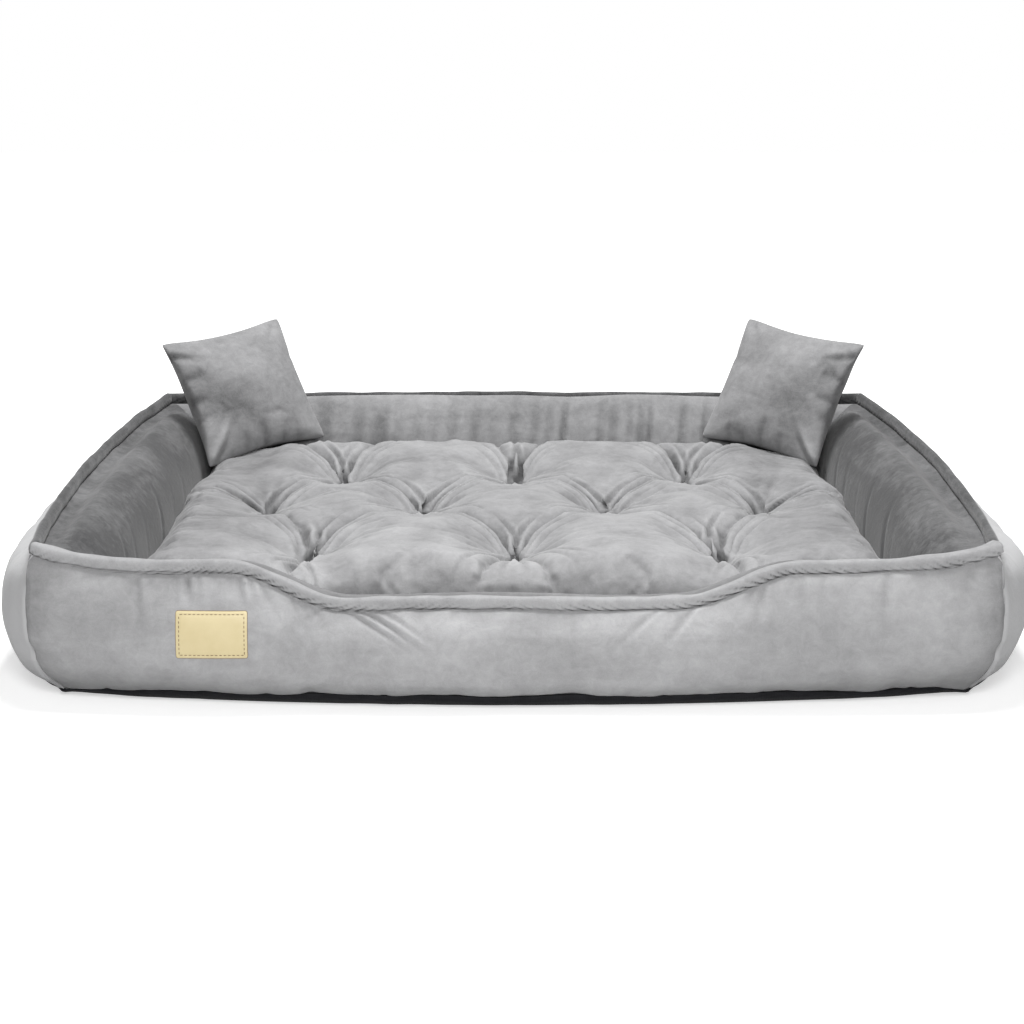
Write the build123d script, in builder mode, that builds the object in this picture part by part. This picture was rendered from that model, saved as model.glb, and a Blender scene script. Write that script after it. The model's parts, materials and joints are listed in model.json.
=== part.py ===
from build123d import *
from dataclasses import dataclass
from math import cos, pi, radians, sin, sqrt
import os

# Dog sofa bed: four stuffed bolster walls round a loose tufted mattress, with two loose
# pillows in the back corners and a zip along the foot of each side wall.
# Millimetres. +X is to the right seen from the front, -Y is the front, +Z is up, and the
# origin is the middle of the underside.

os.makedirs("parts", exist_ok=True)

# Cloth, clearances and cuts
cloth = 2.0                    # velvet on its lining
stuffing_gap = 0.7             # between a cover and its filling
seat_gap = 0.3                 # between soft pieces that can part
overrun = 5.0                  # how far a cut runs past what it cuts

# The rim: the top seam of the walls, seen from above
rim_half_width = 515.0         # at the corners
rim_half_depth = 440.0         # at the corners
side_rim_bow = 22.0            # how far the side rims bow outward at mid length
front_rim_bow = 15.0
back_rim_bow = 10.0

# Heights of the walls above the floor
rim_height = 163.0             # the rim seam, under the welt
back_sag = 0.5                 # the back rim hangs lower at mid length
front_high = 148.0             # the front rim beside the dip
front_low = 109.0              # the front rim along the dip
dip_half_width = 178.0         # the level stretch of the dip
dip_end = 305.0                # where the front rim is back at its full height
hip_height = 45.0              # the fullest line low on the walls, where the zips lie
low_height = 28.0              # half way from there to the foot seam
foot_height = 12.0             # the seam between walls and underside
front_rise_power = 4           # how late the front rim climbs to the corner

# How far the walls stand out of the rim's corner lines, at full stuffing
side_bulge, side_hip, side_foot = 60.0, 52.0, 30.0
front_bulge, front_hip, front_foot = 34.0, 33.0, 26.0
back_bulge, back_hip, back_foot = 35.0, 32.0, 18.0
corner_bulge, corner_hip, corner_foot = 5.0, 0.0, -20.0
low_swell = 4.0                # how far the low line stands out between hip and foot
side_bulge_height_share = 0.565    # side and back walls
front_bulge_height_share = 0.66
corner_bulge_height_share = 0.67

# The inner face of the walls, from the rim's corner lines inward
corner_face = 83.0
side_face = 78.0
end_face = 100.0               # front and back walls
top_reach_share = 0.45
shoulder_reach_share = 0.8
floor_reach_share = 0.86
full_top_share, corner_top_share = 1.012, 0.93
full_shoulder_share, corner_shoulder_share = 0.9, 0.8
full_face_share, corner_face_share = 0.6, 0.55
inner_end_power = 6            # how late the inner face falls away to the corner

# Stations along a wall: share of the half run, how far the station leans into the mitre,
# and how full the stuffing is there
side_station_shares = ((0, 0, 1), (0.42, 0, 1), (0.76, 0, 1), (0.9, 0.7, 0.55), (1, 1, 0))
back_station_shares = ((0, 0, 1), (0.4, 0, 1), (0.75, 0, 0.95), (0.91, 0.7, 0.55), (1, 1, 0))
front_end_station_shares = ((0.45, 0, 0.85), (0.75, 0.7, 0.55), (1, 1, 0))
dip_station_shares = (0, 1 / 3, 2 / 3, 1)

# The rim welt: a stuffed fold of the same velvet
welt_width = 10.0
welt_height = 15.0
welt_swell = 1.0               # how far its sides stand out
welt_side_share = 0.66

# The underside
base_cloth = 2.0               # black non-slip cloth
base_turn = 22.0               # how far the cloth turns in from the foot seam to the floor
lining = 1.5                   # the floor panel inside the bed
floor_top = foot_height + lining
floor_inset = 4.0              # floor panel edge, inside the foot seam

# The zips at the foot of the side walls
zip_half_length = 320.0
zip_tilt = 18.0                # degrees, the slope of the cloth at the hip line
tape_opening = 14.0            # how far the two panels stand apart
tape_thickness = 1.0
row_width = 2.4                # one row of teeth
row_thickness = 2.6
row_split = 1.2                # between the rows, where the slider's web runs
stop_length = 4.0              # the stops at both ends of the teeth
channel_depth = 7.5            # the filling is pressed back behind the zip
slider_length = 13.0
slider_width = 9.6
slider_plate = 1.2
slider_web = 0.7
slider_web_length = 4.0
slider_lip = 0.8               # thickness of the lips along its sides
slider_gap = 0.25              # running clearance round the teeth and the tapes
slider_park = 8.0              # from the end of the zip to the slider
bail_width = 2.0
bail_wire = 1.1
bail_opening = 3.6
pull_length = 24.0
pull_width = 6.4
pull_thickness = 1.1
pull_gap = 0.25                # running clearance in the bail
pull_window = 3.8              # from the hinge line to the end of the window
pull_rounding = 0.5
pull_hole = 2.2

# The label on the front wall
label_width = 76.0
label_height = 50.0
label_centre_x = -321.0
label_centre_z = 86.0
label_corner = 2.0
label_thickness = 1.2
label_gap = 0.1

# The mattress
mattress_half_width = rim_half_width - side_face - 4   # clear of the bolsters
mattress_half_depth = rim_half_depth - end_face - 5
mattress_bottom = floor_top + seat_gap
mattress_seam = 60.0           # height of the seam round its edge
mattress_crest = 127.0
back_crest = 134.0             # of the puffs behind the back row
tuft_height = 82.0             # where the threads hold the top down
crease_rise = 28.0             # of a crease between two tufts
edge_crease_rise = 24.0        # of the crease from an outer tuft to the side
middle_row_y = 20.0            # the rows of tufts, front to back
front_row_y = -200.0
back_row_y = 185.0
middle_tuft = 118.0            # tufts of the middle row
outer_tuft = 315.0
front_tuft = 244.0             # outer tufts of the front and back rows
back_tuft = 233.0
pinch = 6.0                    # half the gather at a tuft
edge_crown_share = 0.55
edge_side_share = 0.2
edge_bottom_share = 0.07
bottom_side_share = 0.6
puff_width = 200.0             # between creases where a puff reaches its crest
steepest_puff = 0.3            # rise over the width of a narrow one
gather_rise = 1.2              # in the middle of the gather at a tuft
hidden_chords = 4              # straight pieces per arc on surfaces that nothing shows
tuft_station_shares = (0, 0.25, 0.5, 0.75, 1)
border_share = 0.45            # station between the tuft row and the rounded end
# Share of the half depth, then how full and how wide the rounded ends are there
mattress_end_shares = (
    (0.851, 1, 0.997), (0.931, 0.83, 0.984), (0.979, 0.5, 0.962), (1, 0.12, 0.935),
)

# The threads that tuft the mattress
thread_radius = 1.2
thread_hole = 1.5
knot_radius = 3.4
knot_height = 1.6
knot_lift = 4.8                # the knot sits on the gathers round the pit
thread_sides = 6
knot_sides = 8

# The pillows, in their own frame: u across, v up, n out of the front
pillow_half = 94.0
pillow_crown = 40.0
pillow_centre = (rim_half_width - 132, rim_half_depth - 114.5, 199.2)
pillow_yaw = 31.6
pillow_lean = 29.8
pillow_roll = 8.1
# Level over the crown, then how far out the corners and the middles of the edges are
pillow_level_shares = (
    (0, 1, 0.9), (0.38, 0.83, 0.86), (0.7, 0.62, 0.74), (0.92, 0.38, 0.5), (1, 0.15, 0.21),
)


def mix(low, high, share):
    """A value part of the way from low to high."""
    return low + (high - low) * share


@dataclass
class Station:
    """One cross-section of a wall: where on the run, how it leans, how full it is."""

    share: float
    lean: float
    fullness: float


@dataclass
class Wall:
    """One stuffed wall. Offsets are measured outward from the rim's corner line."""

    name: str
    outward: Vector
    along: Vector
    half_run: float
    corner_line: float
    rim_bow: float
    bulge: float
    hip: float
    foot: float
    face: float
    bulge_height_share: float
    bowed_foot: bool
    stations: list

    def rim(self, station):
        """Offset of the rim seam."""
        return self.rim_bow * (1 - station.share**2)

    def rim_z(self, station):
        """Height of the rim seam."""
        if self.name == "back":
            return rim_height - back_sag * (1 - station.share**2)
        if self.name == "front":
            return front_rim_height(abs(station.share) * self.half_run)
        return rim_height

    def outer(self, station, depth=0.0):
        """Outer profile, rim to foot, set in by depth."""
        full = station.fullness
        height = self.rim_z(station)
        bulge_share = mix(corner_bulge_height_share, self.bulge_height_share, full)
        hip = mix(corner_hip, self.hip, full)
        foot = mix(corner_foot, self.foot, 1 - station.share**2 if self.bowed_foot else full)
        return [
            (self.rim(station) - depth, height),
            (mix(corner_bulge, self.bulge, full) - depth, height * bulge_share),
            (hip - depth, hip_height),
            ((hip + foot) / 2 + low_swell - depth, low_height),
            (foot - depth, foot_height),
        ]

    def inner(self, station, depth=0.0):
        """Inner profile, rim to floor, set in by depth."""
        full = 1 - station.share**inner_end_power
        height = self.rim_z(station)
        rim = self.rim(station)
        face = -mix(corner_face, self.face, full)
        top = height * mix(corner_top_share, full_top_share, full)
        shoulder = height * mix(corner_shoulder_share, full_shoulder_share, full)
        slant = depth / sqrt(2)
        return [
            (rim - welt_width, height - depth),
            (mix(rim, face, top_reach_share), top - depth),
            (mix(rim, face, shoulder_reach_share) + slant, shoulder - slant),
            (face + depth, height * mix(corner_face_share, full_face_share, full)),
            (mix(rim, face, floor_reach_share) + depth, floor_top),
        ]

    def plane(self, station):
        """Upright plane of a station, with its X pointing out of the bed."""
        side = 1 if station.share > 0 else -1
        reach = self.outward + self.along * (side * station.lean)
        origin = self.outward * self.corner_line + self.along * (station.share * self.half_run)
        return Plane(origin=origin, x_dir=reach, z_dir=reach.cross(Vector(0, 0, 1)))

    def spread(self, station, points):
        """Offsets stretched to the length that they have on a leaning plane."""
        stretch = sqrt(1 + station.lean**2)
        return [(offset * stretch, height) for offset, height in points]


def front_rim_height(x):
    """The front rim: level dip, a smooth climb, then a rise to the corner."""
    if x <= dip_half_width:
        return front_low
    if x <= dip_end:
        climb = (x - dip_half_width) / (dip_end - dip_half_width)
        return mix(front_low, front_high, climb**2 * (3 - 2 * climb))
    rise = (x - dip_end) / (rim_half_width - dip_end)
    return mix(front_high, rim_height, rise**front_rise_power)


def both_ways(half):
    """Stations from one end of the run to the other, from those of one half."""
    mirrored = [Station(-share, lean, full) for share, lean, full in reversed(half) if share > 0]
    return mirrored + [Station(share, lean, full) for share, lean, full in half]


def front_half():
    """Stations of the right half of the front wall, shares of the half width."""
    dip = [mix(dip_half_width, dip_end, share) / rim_half_width for share in dip_station_shares]
    level = [(share, 0, 1) for share in dip]
    end = [
        (mix(dip_end, rim_half_width, share) / rim_half_width, lean, full)
        for share, lean, full in front_end_station_shares
    ]
    return level + end


right, ahead = Vector(1, 0, 0), Vector(0, 1, 0)
front_wall = Wall("front", -ahead, right, rim_half_width, rim_half_depth, front_rim_bow,
                  front_bulge, front_hip, front_foot, end_face,
                  front_bulge_height_share, True, both_ways(front_half()))
back_wall = Wall("back", ahead, right, rim_half_width, rim_half_depth, back_rim_bow,
                 back_bulge, back_hip, back_foot, end_face,
                 side_bulge_height_share, True, both_ways(back_station_shares))
left_wall = Wall("left", -right, ahead, rim_half_depth, rim_half_width, side_rim_bow,
                 side_bulge, side_hip, side_foot, side_face,
                 side_bulge_height_share, False, both_ways(side_station_shares))
right_wall = Wall("right", right, ahead, rim_half_depth, rim_half_width, side_rim_bow,
                  side_bulge, side_hip, side_foot, side_face,
                  side_bulge_height_share, False, both_ways(side_station_shares))
walls = (front_wall, back_wall, left_wall, right_wall)


def arcs_along(points, chords=0):
    """Arcs through each three points of a list, or that many chords of each arc."""
    for first in range(0, len(points) - 2, 2):
        mode = Mode.PRIVATE if chords else Mode.ADD
        arc = ThreePointArc(points[first], points[first + 1], points[first + 2], mode=mode)
        if chords:
            Polyline(*[arc @ (step / chords) for step in range(chords + 1)])


def strip_section(wall, station, profile, outside, inside):
    """The section of a cloth panel: the space between two depths of a profile."""
    skin = wall.spread(station, profile(station, outside))
    back = wall.spread(station, profile(station, inside))
    with BuildSketch(wall.plane(station)) as section:
        with BuildLine():
            arcs_along(skin)
            Line(skin[-1], back[-1])
            arcs_along(back[::-1])
            Line(back[0], skin[0])
        make_face()
    return section.sketch


def strip_sections(wall, profile):
    """The sections of a whole cloth panel, from one mitre to the other."""
    return [strip_section(wall, station, profile, 0, cloth) for station in wall.stations]


def filling_section(wall, station):
    """The section of a wall's stuffing, inside its panels."""
    depth = cloth + stuffing_gap
    outer = wall.outer(station, depth)
    outer[0] = (outer[0][0], outer[0][1] - depth)
    outer[-1] = (outer[-1][0], floor_top)
    skin = wall.spread(station, outer)
    back = wall.spread(station, wall.inner(station, depth))
    with BuildSketch(wall.plane(station)) as section:
        with BuildLine():
            arcs_along(skin, hidden_chords)
            Line(skin[-1], back[-1])
            arcs_along(back[::-1], hidden_chords)
            Line(back[0], skin[0])
        make_face()
    return section.sketch


def welt_section(wall, station):
    """The section of the rim welt, standing on the rim seam."""
    rim, foot = wall.rim(station), wall.rim_z(station)
    side = foot + welt_height * welt_side_share
    points = wall.spread(station, [
        (rim, foot),
        (rim + welt_swell, side),
        (rim - welt_width / 2, foot + welt_height),
        (rim - welt_width - welt_swell, side),
        (rim - welt_width, foot),
    ])
    with BuildSketch(wall.plane(station)) as section:
        with BuildLine():
            Line(points[0], points[1])
            ThreePointArc(points[1], points[2], points[3])
            Line(points[3], points[4])
            Line(points[4], points[0])
        make_face()
    return section.sketch


def foot_outline(inset):
    """Corners of the underside, through the foot of every wall station, set in by inset."""
    corners = []
    for wall, way in ((front_wall, 1), (right_wall, 1), (back_wall, -1), (left_wall, -1)):
        for station in wall.stations[::way][:-1]:
            offset = wall.outer(station)[-1][0] - inset
            side = 1 if station.share > 0 else -1
            run = station.share * wall.half_run + side * station.lean * offset
            place = wall.outward * (wall.corner_line + offset) + wall.along * run
            corners.append((place.X, place.Y))
    return corners


def write(builder, label):
    """Name a finished piece and write it."""
    builder.part.label = label
    export_step(builder.part, f"parts/{label}.step")


# Underside
with BuildPart() as base_fabric:
    with BuildSketch(Plane.XY):
        Polygon(*foot_outline(base_turn), align=None)
    with BuildSketch(Plane.XY.offset(foot_height)):
        Polygon(*foot_outline(0), align=None)
    loft(ruled=True)
    with BuildSketch(Plane.XY.offset(base_cloth)):
        Polygon(*foot_outline(base_turn), align=None)
    with BuildSketch(Plane.XY.offset(foot_height)):
        Polygon(*foot_outline(base_cloth), align=None)
    loft(ruled=True, mode=Mode.SUBTRACT)
write(base_fabric, "base_fabric")

with BuildPart() as base_wadding:
    with BuildSketch(Plane.XY.offset(base_cloth)):
        Polygon(*foot_outline(base_turn + stuffing_gap), align=None)
    with BuildSketch(Plane.XY.offset(foot_height)):
        Polygon(*foot_outline(base_cloth + stuffing_gap), align=None)
    loft(ruled=True)
write(base_wadding, "base_wadding")

with BuildPart() as floor_panel:
    with BuildSketch(Plane.XY.offset(foot_height)):
        Polygon(*foot_outline(floor_inset), align=None)
    extrude(amount=lining)
write(floor_panel, "floor_panel")

# Front and back walls
for wall in (front_wall, back_wall):
    with BuildPart() as outer_panel:
        loft(strip_sections(wall, wall.outer), ruled=True)
    write(outer_panel, f"{wall.name}_outer_panel")

# Side walls, whose outer panel ends above the zip and meets a narrow band below it
zip_top = hip_height + tape_opening / 2
zip_bottom = hip_height - tape_opening / 2
zip_line = rim_half_width + side_hip
for wall in (left_wall, right_wall):
    with BuildPart() as outer_panel:
        loft(strip_sections(wall, wall.outer), ruled=True)
        split(bisect_by=Plane.XY.offset(hip_height), keep=Keep.TOP)
        with BuildSketch(Plane.XY.offset(hip_height - overrun)):
            Rectangle(2 * (zip_line + overrun + side_bulge), 2 * zip_half_length)
        extrude(amount=overrun + tape_opening / 2, mode=Mode.SUBTRACT)
    write(outer_panel, f"{wall.name}_outer_panel")

    with BuildPart() as lower_band:
        loft(strip_sections(wall, wall.outer), ruled=True)
        split(bisect_by=Plane.XY.offset(hip_height), keep=Keep.BOTTOM)
        with BuildSketch(Plane.XY.offset(zip_bottom)):
            Rectangle(2 * (zip_line + overrun + side_bulge), 2 * zip_half_length)
        extrude(amount=overrun + tape_opening / 2, mode=Mode.SUBTRACT)
    write(lower_band, f"{wall.name}_lower_band")

for wall in walls:
    with BuildPart() as inner_panel:
        loft(strip_sections(wall, wall.inner), ruled=True)
    write(inner_panel, f"{wall.name}_inner_panel")

    with BuildPart() as filling:
        loft([filling_section(wall, station) for station in wall.stations], ruled=True)
        if wall in (left_wall, right_wall):
            side = wall.outward.X
            with BuildSketch(Plane.XY.offset(zip_bottom)):
                with Locations((side * (zip_line - channel_depth / 2), 0)):
                    Rectangle(channel_depth, 2 * zip_half_length)
            extrude(amount=tape_opening, mode=Mode.SUBTRACT)
    write(filling, f"{wall.name}_filling")

    with BuildPart() as rim_welt:
        loft([welt_section(wall, station) for station in wall.stations], ruled=True)
    write(rim_welt, f"{wall.name}_rim_welt")

# Zips
row_middle = (row_split + row_width) / 2
row_outside = row_split / 2 + row_width
tape_visible = tape_opening / 2 - row_outside - slider_gap
slider_middle = zip_half_length - slider_park - slider_length / 2
plate_floor = row_thickness / 2 + slider_gap
lip_floor = tape_thickness / 2 + slider_gap
bail_floor = plate_floor + slider_plate
hinge_out = bail_floor + pull_gap + pull_thickness / 2
bail_clear = pull_thickness + 2 * pull_gap


def zip_plane(side, out=0.0):
    """Plane of a zip, out being its height above the middle of the tapes: its X runs along
    the zip, its Y up across it."""
    tilt = radians(zip_tilt)
    outward = Vector(side * cos(tilt), 0, -sin(tilt))
    origin = Vector(side * zip_line, 0, hip_height) - outward * (cloth / 2)
    return Plane(origin=origin + outward * out, x_dir=Vector(0, side, 0), z_dir=outward)


for name, side in (("left", -1), ("right", 1)):
    parked = -side * slider_middle

    with BuildPart() as zip_tapes:
        with BuildSketch(zip_plane(side, -tape_thickness / 2)):
            with Locations((0, row_outside + tape_visible / 2), (0, -row_outside - tape_visible / 2)):
                Rectangle(2 * zip_half_length, tape_visible)
        extrude(amount=tape_thickness)
    write(zip_tapes, f"{name}_zip_tapes")

    with BuildPart() as zip_teeth:
        with BuildSketch(zip_plane(side, -row_thickness / 2)):
            with Locations((0, row_middle), (0, -row_middle)):
                Rectangle(2 * zip_half_length, row_width)
            with GridLocations(2 * zip_half_length - stop_length, 0, 2, 1):
                Rectangle(stop_length, 2 * row_outside)
        extrude(amount=row_thickness)
    write(zip_teeth, f"{name}_zip_teeth")

    with BuildPart() as zip_slider:
        for face in (1, -1):
            out = plate_floor if face > 0 else -plate_floor - slider_plate
            lip_out = lip_floor if face > 0 else -plate_floor
            with BuildSketch(zip_plane(side, out)):
                with Locations((parked, 0)):
                    Rectangle(slider_length, slider_width)
            extrude(amount=slider_plate)
            with BuildSketch(zip_plane(side, lip_out)):
                with Locations((parked, 0)):
                    with GridLocations(0, slider_width - slider_lip, 1, 2):
                        Rectangle(slider_length, slider_lip)
            extrude(amount=plate_floor - lip_floor)
        with BuildSketch(zip_plane(side, -plate_floor)):
            with Locations((parked, 0)):
                Rectangle(slider_web_length, slider_web)
        extrude(amount=2 * plate_floor)
        with BuildSketch(zip_plane(side, bail_floor)):
            with Locations((parked, 0)):
                Rectangle(bail_opening + 2 * bail_wire, bail_width)
        extrude(amount=bail_clear + bail_wire)
        with BuildSketch(zip_plane(side, bail_floor)):
            with Locations((parked, 0)):
                Rectangle(bail_opening, 2 * bail_width)
        extrude(amount=bail_clear, mode=Mode.SUBTRACT)
    write(zip_slider, f"{name}_zip_slider")

    with BuildPart() as zip_pull:
        with BuildSketch(zip_plane(side, hinge_out - pull_thickness / 2)):
            with Locations((parked + side * (pull_length - pull_thickness) / 2, 0)):
                Rectangle(pull_length, pull_width)
            with Locations((parked + side * (pull_window + pull_thickness / 2) / 2, 0)):
                Rectangle(pull_window - pull_thickness / 2, bail_width + 2 * pull_gap, mode=Mode.SUBTRACT)
            with Locations((parked + side * (pull_length - pull_thickness - pull_hole), 0)):
                SlotOverall(pull_hole + pull_rounding, pull_hole, mode=Mode.SUBTRACT)
        extrude(amount=pull_thickness)
        hinge_end = zip_pull.faces().sort_by(Axis.Y)[0]
        fillet(hinge_end.edges().sort_by(SortBy.LENGTH)[-2:], pull_rounding)
    write(zip_pull, f"{name}_zip_pull")

# Label, cut from a skin that lies on the front wall
with BuildPart() as label_patch:
    left_stations = [place for place in front_wall.stations if place.share < 0 and place.lean == 0]
    loft([strip_section(front_wall, place, front_wall.outer, -label_gap - label_thickness, -label_gap)
          for place in left_stations], ruled=True)
    with BuildSketch(Plane.XZ.offset(rim_half_depth - corner_face)):
        with Locations((label_centre_x, label_centre_z)):
            RectangleRounded(label_width, label_height, label_corner)
    extrude(amount=2 * corner_face, mode=Mode.INTERSECT)
write(label_patch, "label_patch")


# Mattress
@dataclass
class MattressStation:
    """One cross-section of the mattress: where, how far past each row, how full and wide."""

    place: float
    along: float
    border: float
    full: float
    wide: float
    end_tuft: float
    crest: float


def tracks(station):
    """Places of the three creases right of the middle."""
    return (
        mix(middle_tuft - pinch, pinch, station.along),
        mix(middle_tuft + pinch, station.end_tuft - pinch, station.along),
        mix(outer_tuft, station.end_tuft + pinch, station.along),
    )


def crease_height(station):
    """Height of the creases at a station."""
    turn = station.border / 2 if station.border else station.along
    return tuft_height + crease_rise * sqrt(sin(pi * turn))


def crown(left_x, right_x, crease, crest):
    """Highest point of the puff between two creases."""
    width = abs(right_x - left_x)
    share = min(width / puff_width, 1)
    narrow = crease + gather_rise + steepest_puff * (width - 2 * pinch)
    return min(mix(crease, crest, sqrt(share * (2 - share))), narrow)


def mattress_half(way, depth):
    """Stations from the middle row to the front or back end, the end set in by depth."""
    row_y, end_tuft, crest = front_row_y, front_tuft, mattress_crest
    if way > 0:
        row_y, end_tuft, crest = back_row_y, back_tuft, back_crest
    stations = [
        MattressStation(mix(middle_row_y, row_y, share), share, 0, 1, 1, end_tuft,
                        mix(mattress_crest, crest, share))
        for share in tuft_station_shares
    ]
    end = way * mattress_half_depth
    ends = [(end * share, full, wide) for share, full, wide in mattress_end_shares]
    ends.insert(0, (mix(row_y, ends[0][0], border_share), 1, 1))
    for place, full, wide in ends:
        border = (place - row_y) / (end - row_y)
        stations.append(MattressStation(place, 1, border, full, wide, end_tuft, crest))
    stations[-1].place -= way * depth
    return stations


def mattress_places(depth):
    """Every station of the mattress from front to back, the ends set in by depth."""
    return mattress_half(-1, depth)[:0:-1] + mattress_half(1, depth)


def mattress_profile(station, depth):
    """Top points from left seam to right seam, each arc's middle point between its ends."""
    near, middle, far = tracks(station)
    crease = crease_height(station)
    edge = mattress_half_width * station.wide - depth
    side_crest = mix(tuft_height + edge_crease_rise, (mattress_crest + station.crest) / 2, station.along)
    half = [
        (0, crown(-near, near, crease, station.crest)),
        (near, crease),
        ((near + middle) / 2, crown(near, middle, crease, station.crest)),
        (middle, crease),
        ((middle + far) / 2, crown(middle, far, crease, station.crest)),
        (far, crease),
        (mix(far, edge, edge_crown_share), side_crest),
    ]

    def settle(height):
        return mattress_seam + (height - depth - mattress_seam) * station.full

    right_half = [(x, settle(height)) for x, height in half] + [(edge, mattress_seam)]
    left_half = [(-x, height) for x, height in right_half[:0:-1]]
    return left_half + right_half


def under_profile(station, depth):
    """Bottom points from right seam to left seam."""
    edge = mattress_half_width * station.wide - depth
    low = mix(mattress_seam, mattress_bottom + depth, station.full)
    side = mix(mattress_seam, low, bottom_side_share)
    inset = mattress_half_width * edge_bottom_share
    points = [(edge, mattress_seam), (edge - inset * edge_side_share, side), (edge - inset, low)]
    return points + [(-x, height) for x, height in reversed(points)]


def close_past_seam(points, past):
    """Close a half section along the seam, or past it by a step."""
    first, last = points[0], points[-1]
    if past:
        Polyline(last, (last[0], last[1] + past), (first[0], first[1] + past), first)
    else:
        Line(last, first)


def top_loft(depth, chords=0, past=0.0, mode=Mode.ADD):
    """The half of the mattress above its seam, set in by depth."""
    sections = []
    for station in mattress_places(depth):
        points = mattress_profile(station, depth)
        with BuildSketch(Plane.XZ.offset(-station.place)) as section:
            with BuildLine():
                arcs_along(points, chords)
                close_past_seam(points, -past)
            make_face()
        sections.append(section.sketch)
    loft(sections, ruled=True, mode=mode)


def under_loft(depth, past=0.0, mode=Mode.ADD):
    """The half of the mattress below its seam, set in by depth."""
    sections = []
    first_end = mattress_half_depth * mattress_end_shares[0][0]
    for station in mattress_places(depth):
        if abs(station.place) + depth < first_end:
            continue
        points = under_profile(station, depth)
        with BuildSketch(Plane.XZ.offset(-station.place)) as section:
            with BuildLine():
                arcs_along(points[:3], hidden_chords)
                Line(points[2], points[3])
                arcs_along(points[3:], hidden_chords)
                close_past_seam(points, past)
            make_face()
        sections.append(section.sketch)
    loft(sections, ruled=True, mode=mode)


tuft_places = [(side * tuft, middle_row_y) for tuft in (middle_tuft, outer_tuft) for side in (-1, 1)]
tuft_places += [(column * front_tuft, front_row_y) for column in (-1, 0, 1)]
tuft_places += [(column * back_tuft, back_row_y) for column in (-1, 0, 1)]


def tuft_holes():
    """The holes that the tufting threads pass through."""
    with BuildSketch(Plane.XY) as holes:
        with Locations(*tuft_places):
            RegularPolygon(thread_hole, thread_sides)
    extrude(holes.sketch, amount=back_crest + overrun, mode=Mode.SUBTRACT)


with BuildPart() as mattress_top_panel:
    top_loft(0)
    top_loft(cloth, hidden_chords, past=overrun, mode=Mode.SUBTRACT)
    tuft_holes()
write(mattress_top_panel, "mattress_top_panel")

with BuildPart() as mattress_bottom_panel:
    under_loft(0)
    under_loft(cloth, past=overrun, mode=Mode.SUBTRACT)
    tuft_holes()
write(mattress_bottom_panel, "mattress_bottom_panel")

with BuildPart() as mattress_filling:
    top_loft(cloth + stuffing_gap, hidden_chords)
    under_loft(cloth + stuffing_gap)
    tuft_holes()
write(mattress_filling, "mattress_filling")

with BuildPart() as mattress_tuft_ties:
    with BuildSketch(Plane.XY.offset(mattress_bottom)):
        with Locations(*tuft_places):
            RegularPolygon(thread_radius, thread_sides)
    extrude(amount=tuft_height + knot_lift - mattress_bottom)
    with BuildSketch(Plane.XY.offset(tuft_height + knot_lift)):
        with Locations(*tuft_places):
            RegularPolygon(knot_radius, knot_sides)
    extrude(amount=knot_height)
write(mattress_tuft_ties, "mattress_tuft_ties")


# Pillows
def pillow_plane(side, level):
    """Plane across a pillow, level out of its seam, side being -1 for the left one."""
    yaw, lean, roll = (radians(angle) for angle in (pillow_yaw, pillow_lean, pillow_roll))
    across = Vector(cos(yaw), sin(yaw), 0)
    toward = Vector(sin(yaw), -cos(yaw), 0)
    up = Vector(0, 0, 1) * cos(lean) - toward * sin(lean)
    out = toward * cos(lean) + Vector(0, 0, 1) * sin(lean)
    across = across * cos(roll) + up * sin(roll)
    centre = Vector(-pillow_centre[0], pillow_centre[1], pillow_centre[2])
    origin = centre + out * level
    if side > 0:
        origin, across, out = (Vector(-v.X, v.Y, v.Z) for v in (origin, across, out))
    return Plane(origin=origin, x_dir=across, z_dir=out)


def pillow_section(side, level, corner, middle):
    """Outline of a pillow at one level: four corners joined by arcs."""
    corners = ((-corner, -corner), (corner, -corner), (corner, corner), (-corner, corner))
    middles = ((0, -middle), (middle, 0), (0, middle), (-middle, 0))
    with BuildSketch(pillow_plane(side, level)) as section:
        with BuildLine():
            for index in range(len(corners)):
                following = corners[(index + 1) % len(corners)]
                ThreePointArc(corners[index], middles[index], following)
        make_face()
    return section.sketch


def pillow_half_loft(side, face, depth, past=0.0, mode=Mode.ADD):
    """One half of a pillow, face being 1 for the front, set in by depth."""
    reach = pillow_half - depth
    crown_height = pillow_crown - depth
    levels = [(crown_height * level, corner, middle) for level, corner, middle in pillow_level_shares]
    if past:
        levels.insert(0, (-past, levels[0][1], levels[0][2]))
    loft([pillow_section(side, face * height, reach * corner, reach * middle)
          for height, corner, middle in levels], ruled=True, mode=mode)


for name, side in (("left", -1), ("right", 1)):
    for panel, face in (("front", 1), ("back", -1)):
        with BuildPart() as pillow_panel:
            pillow_half_loft(side, face, 0)
            pillow_half_loft(side, face, cloth, cloth, mode=Mode.SUBTRACT)
        write(pillow_panel, f"{name}_pillow_{panel}_panel")

    with BuildPart() as pillow_filling:
        depth = cloth + stuffing_gap
        reach = pillow_half - depth
        levels = pillow_level_shares[::2]
        rear = [(-share, corner, middle) for share, corner, middle in levels[:0:-1]]
        loft([pillow_section(side, (pillow_crown - depth) * level, reach * corner, reach * middle)
              for level, corner, middle in rear + list(levels)], ruled=True)
    write(pillow_filling, f"{name}_pillow_filling")
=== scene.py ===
"""A dog sofa bed: stuffed velvet walls round a tufted mattress, with two loose pillows.

Sizes are in millimetres, as on the cutting table, and become metres where a mesh is made.
+X is to the right, -Y to the front with the dip, +Z up, and the origin is the middle of the
underside.
"""

from __future__ import annotations

import json
import logging
from dataclasses import dataclass
from enum import Enum

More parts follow.
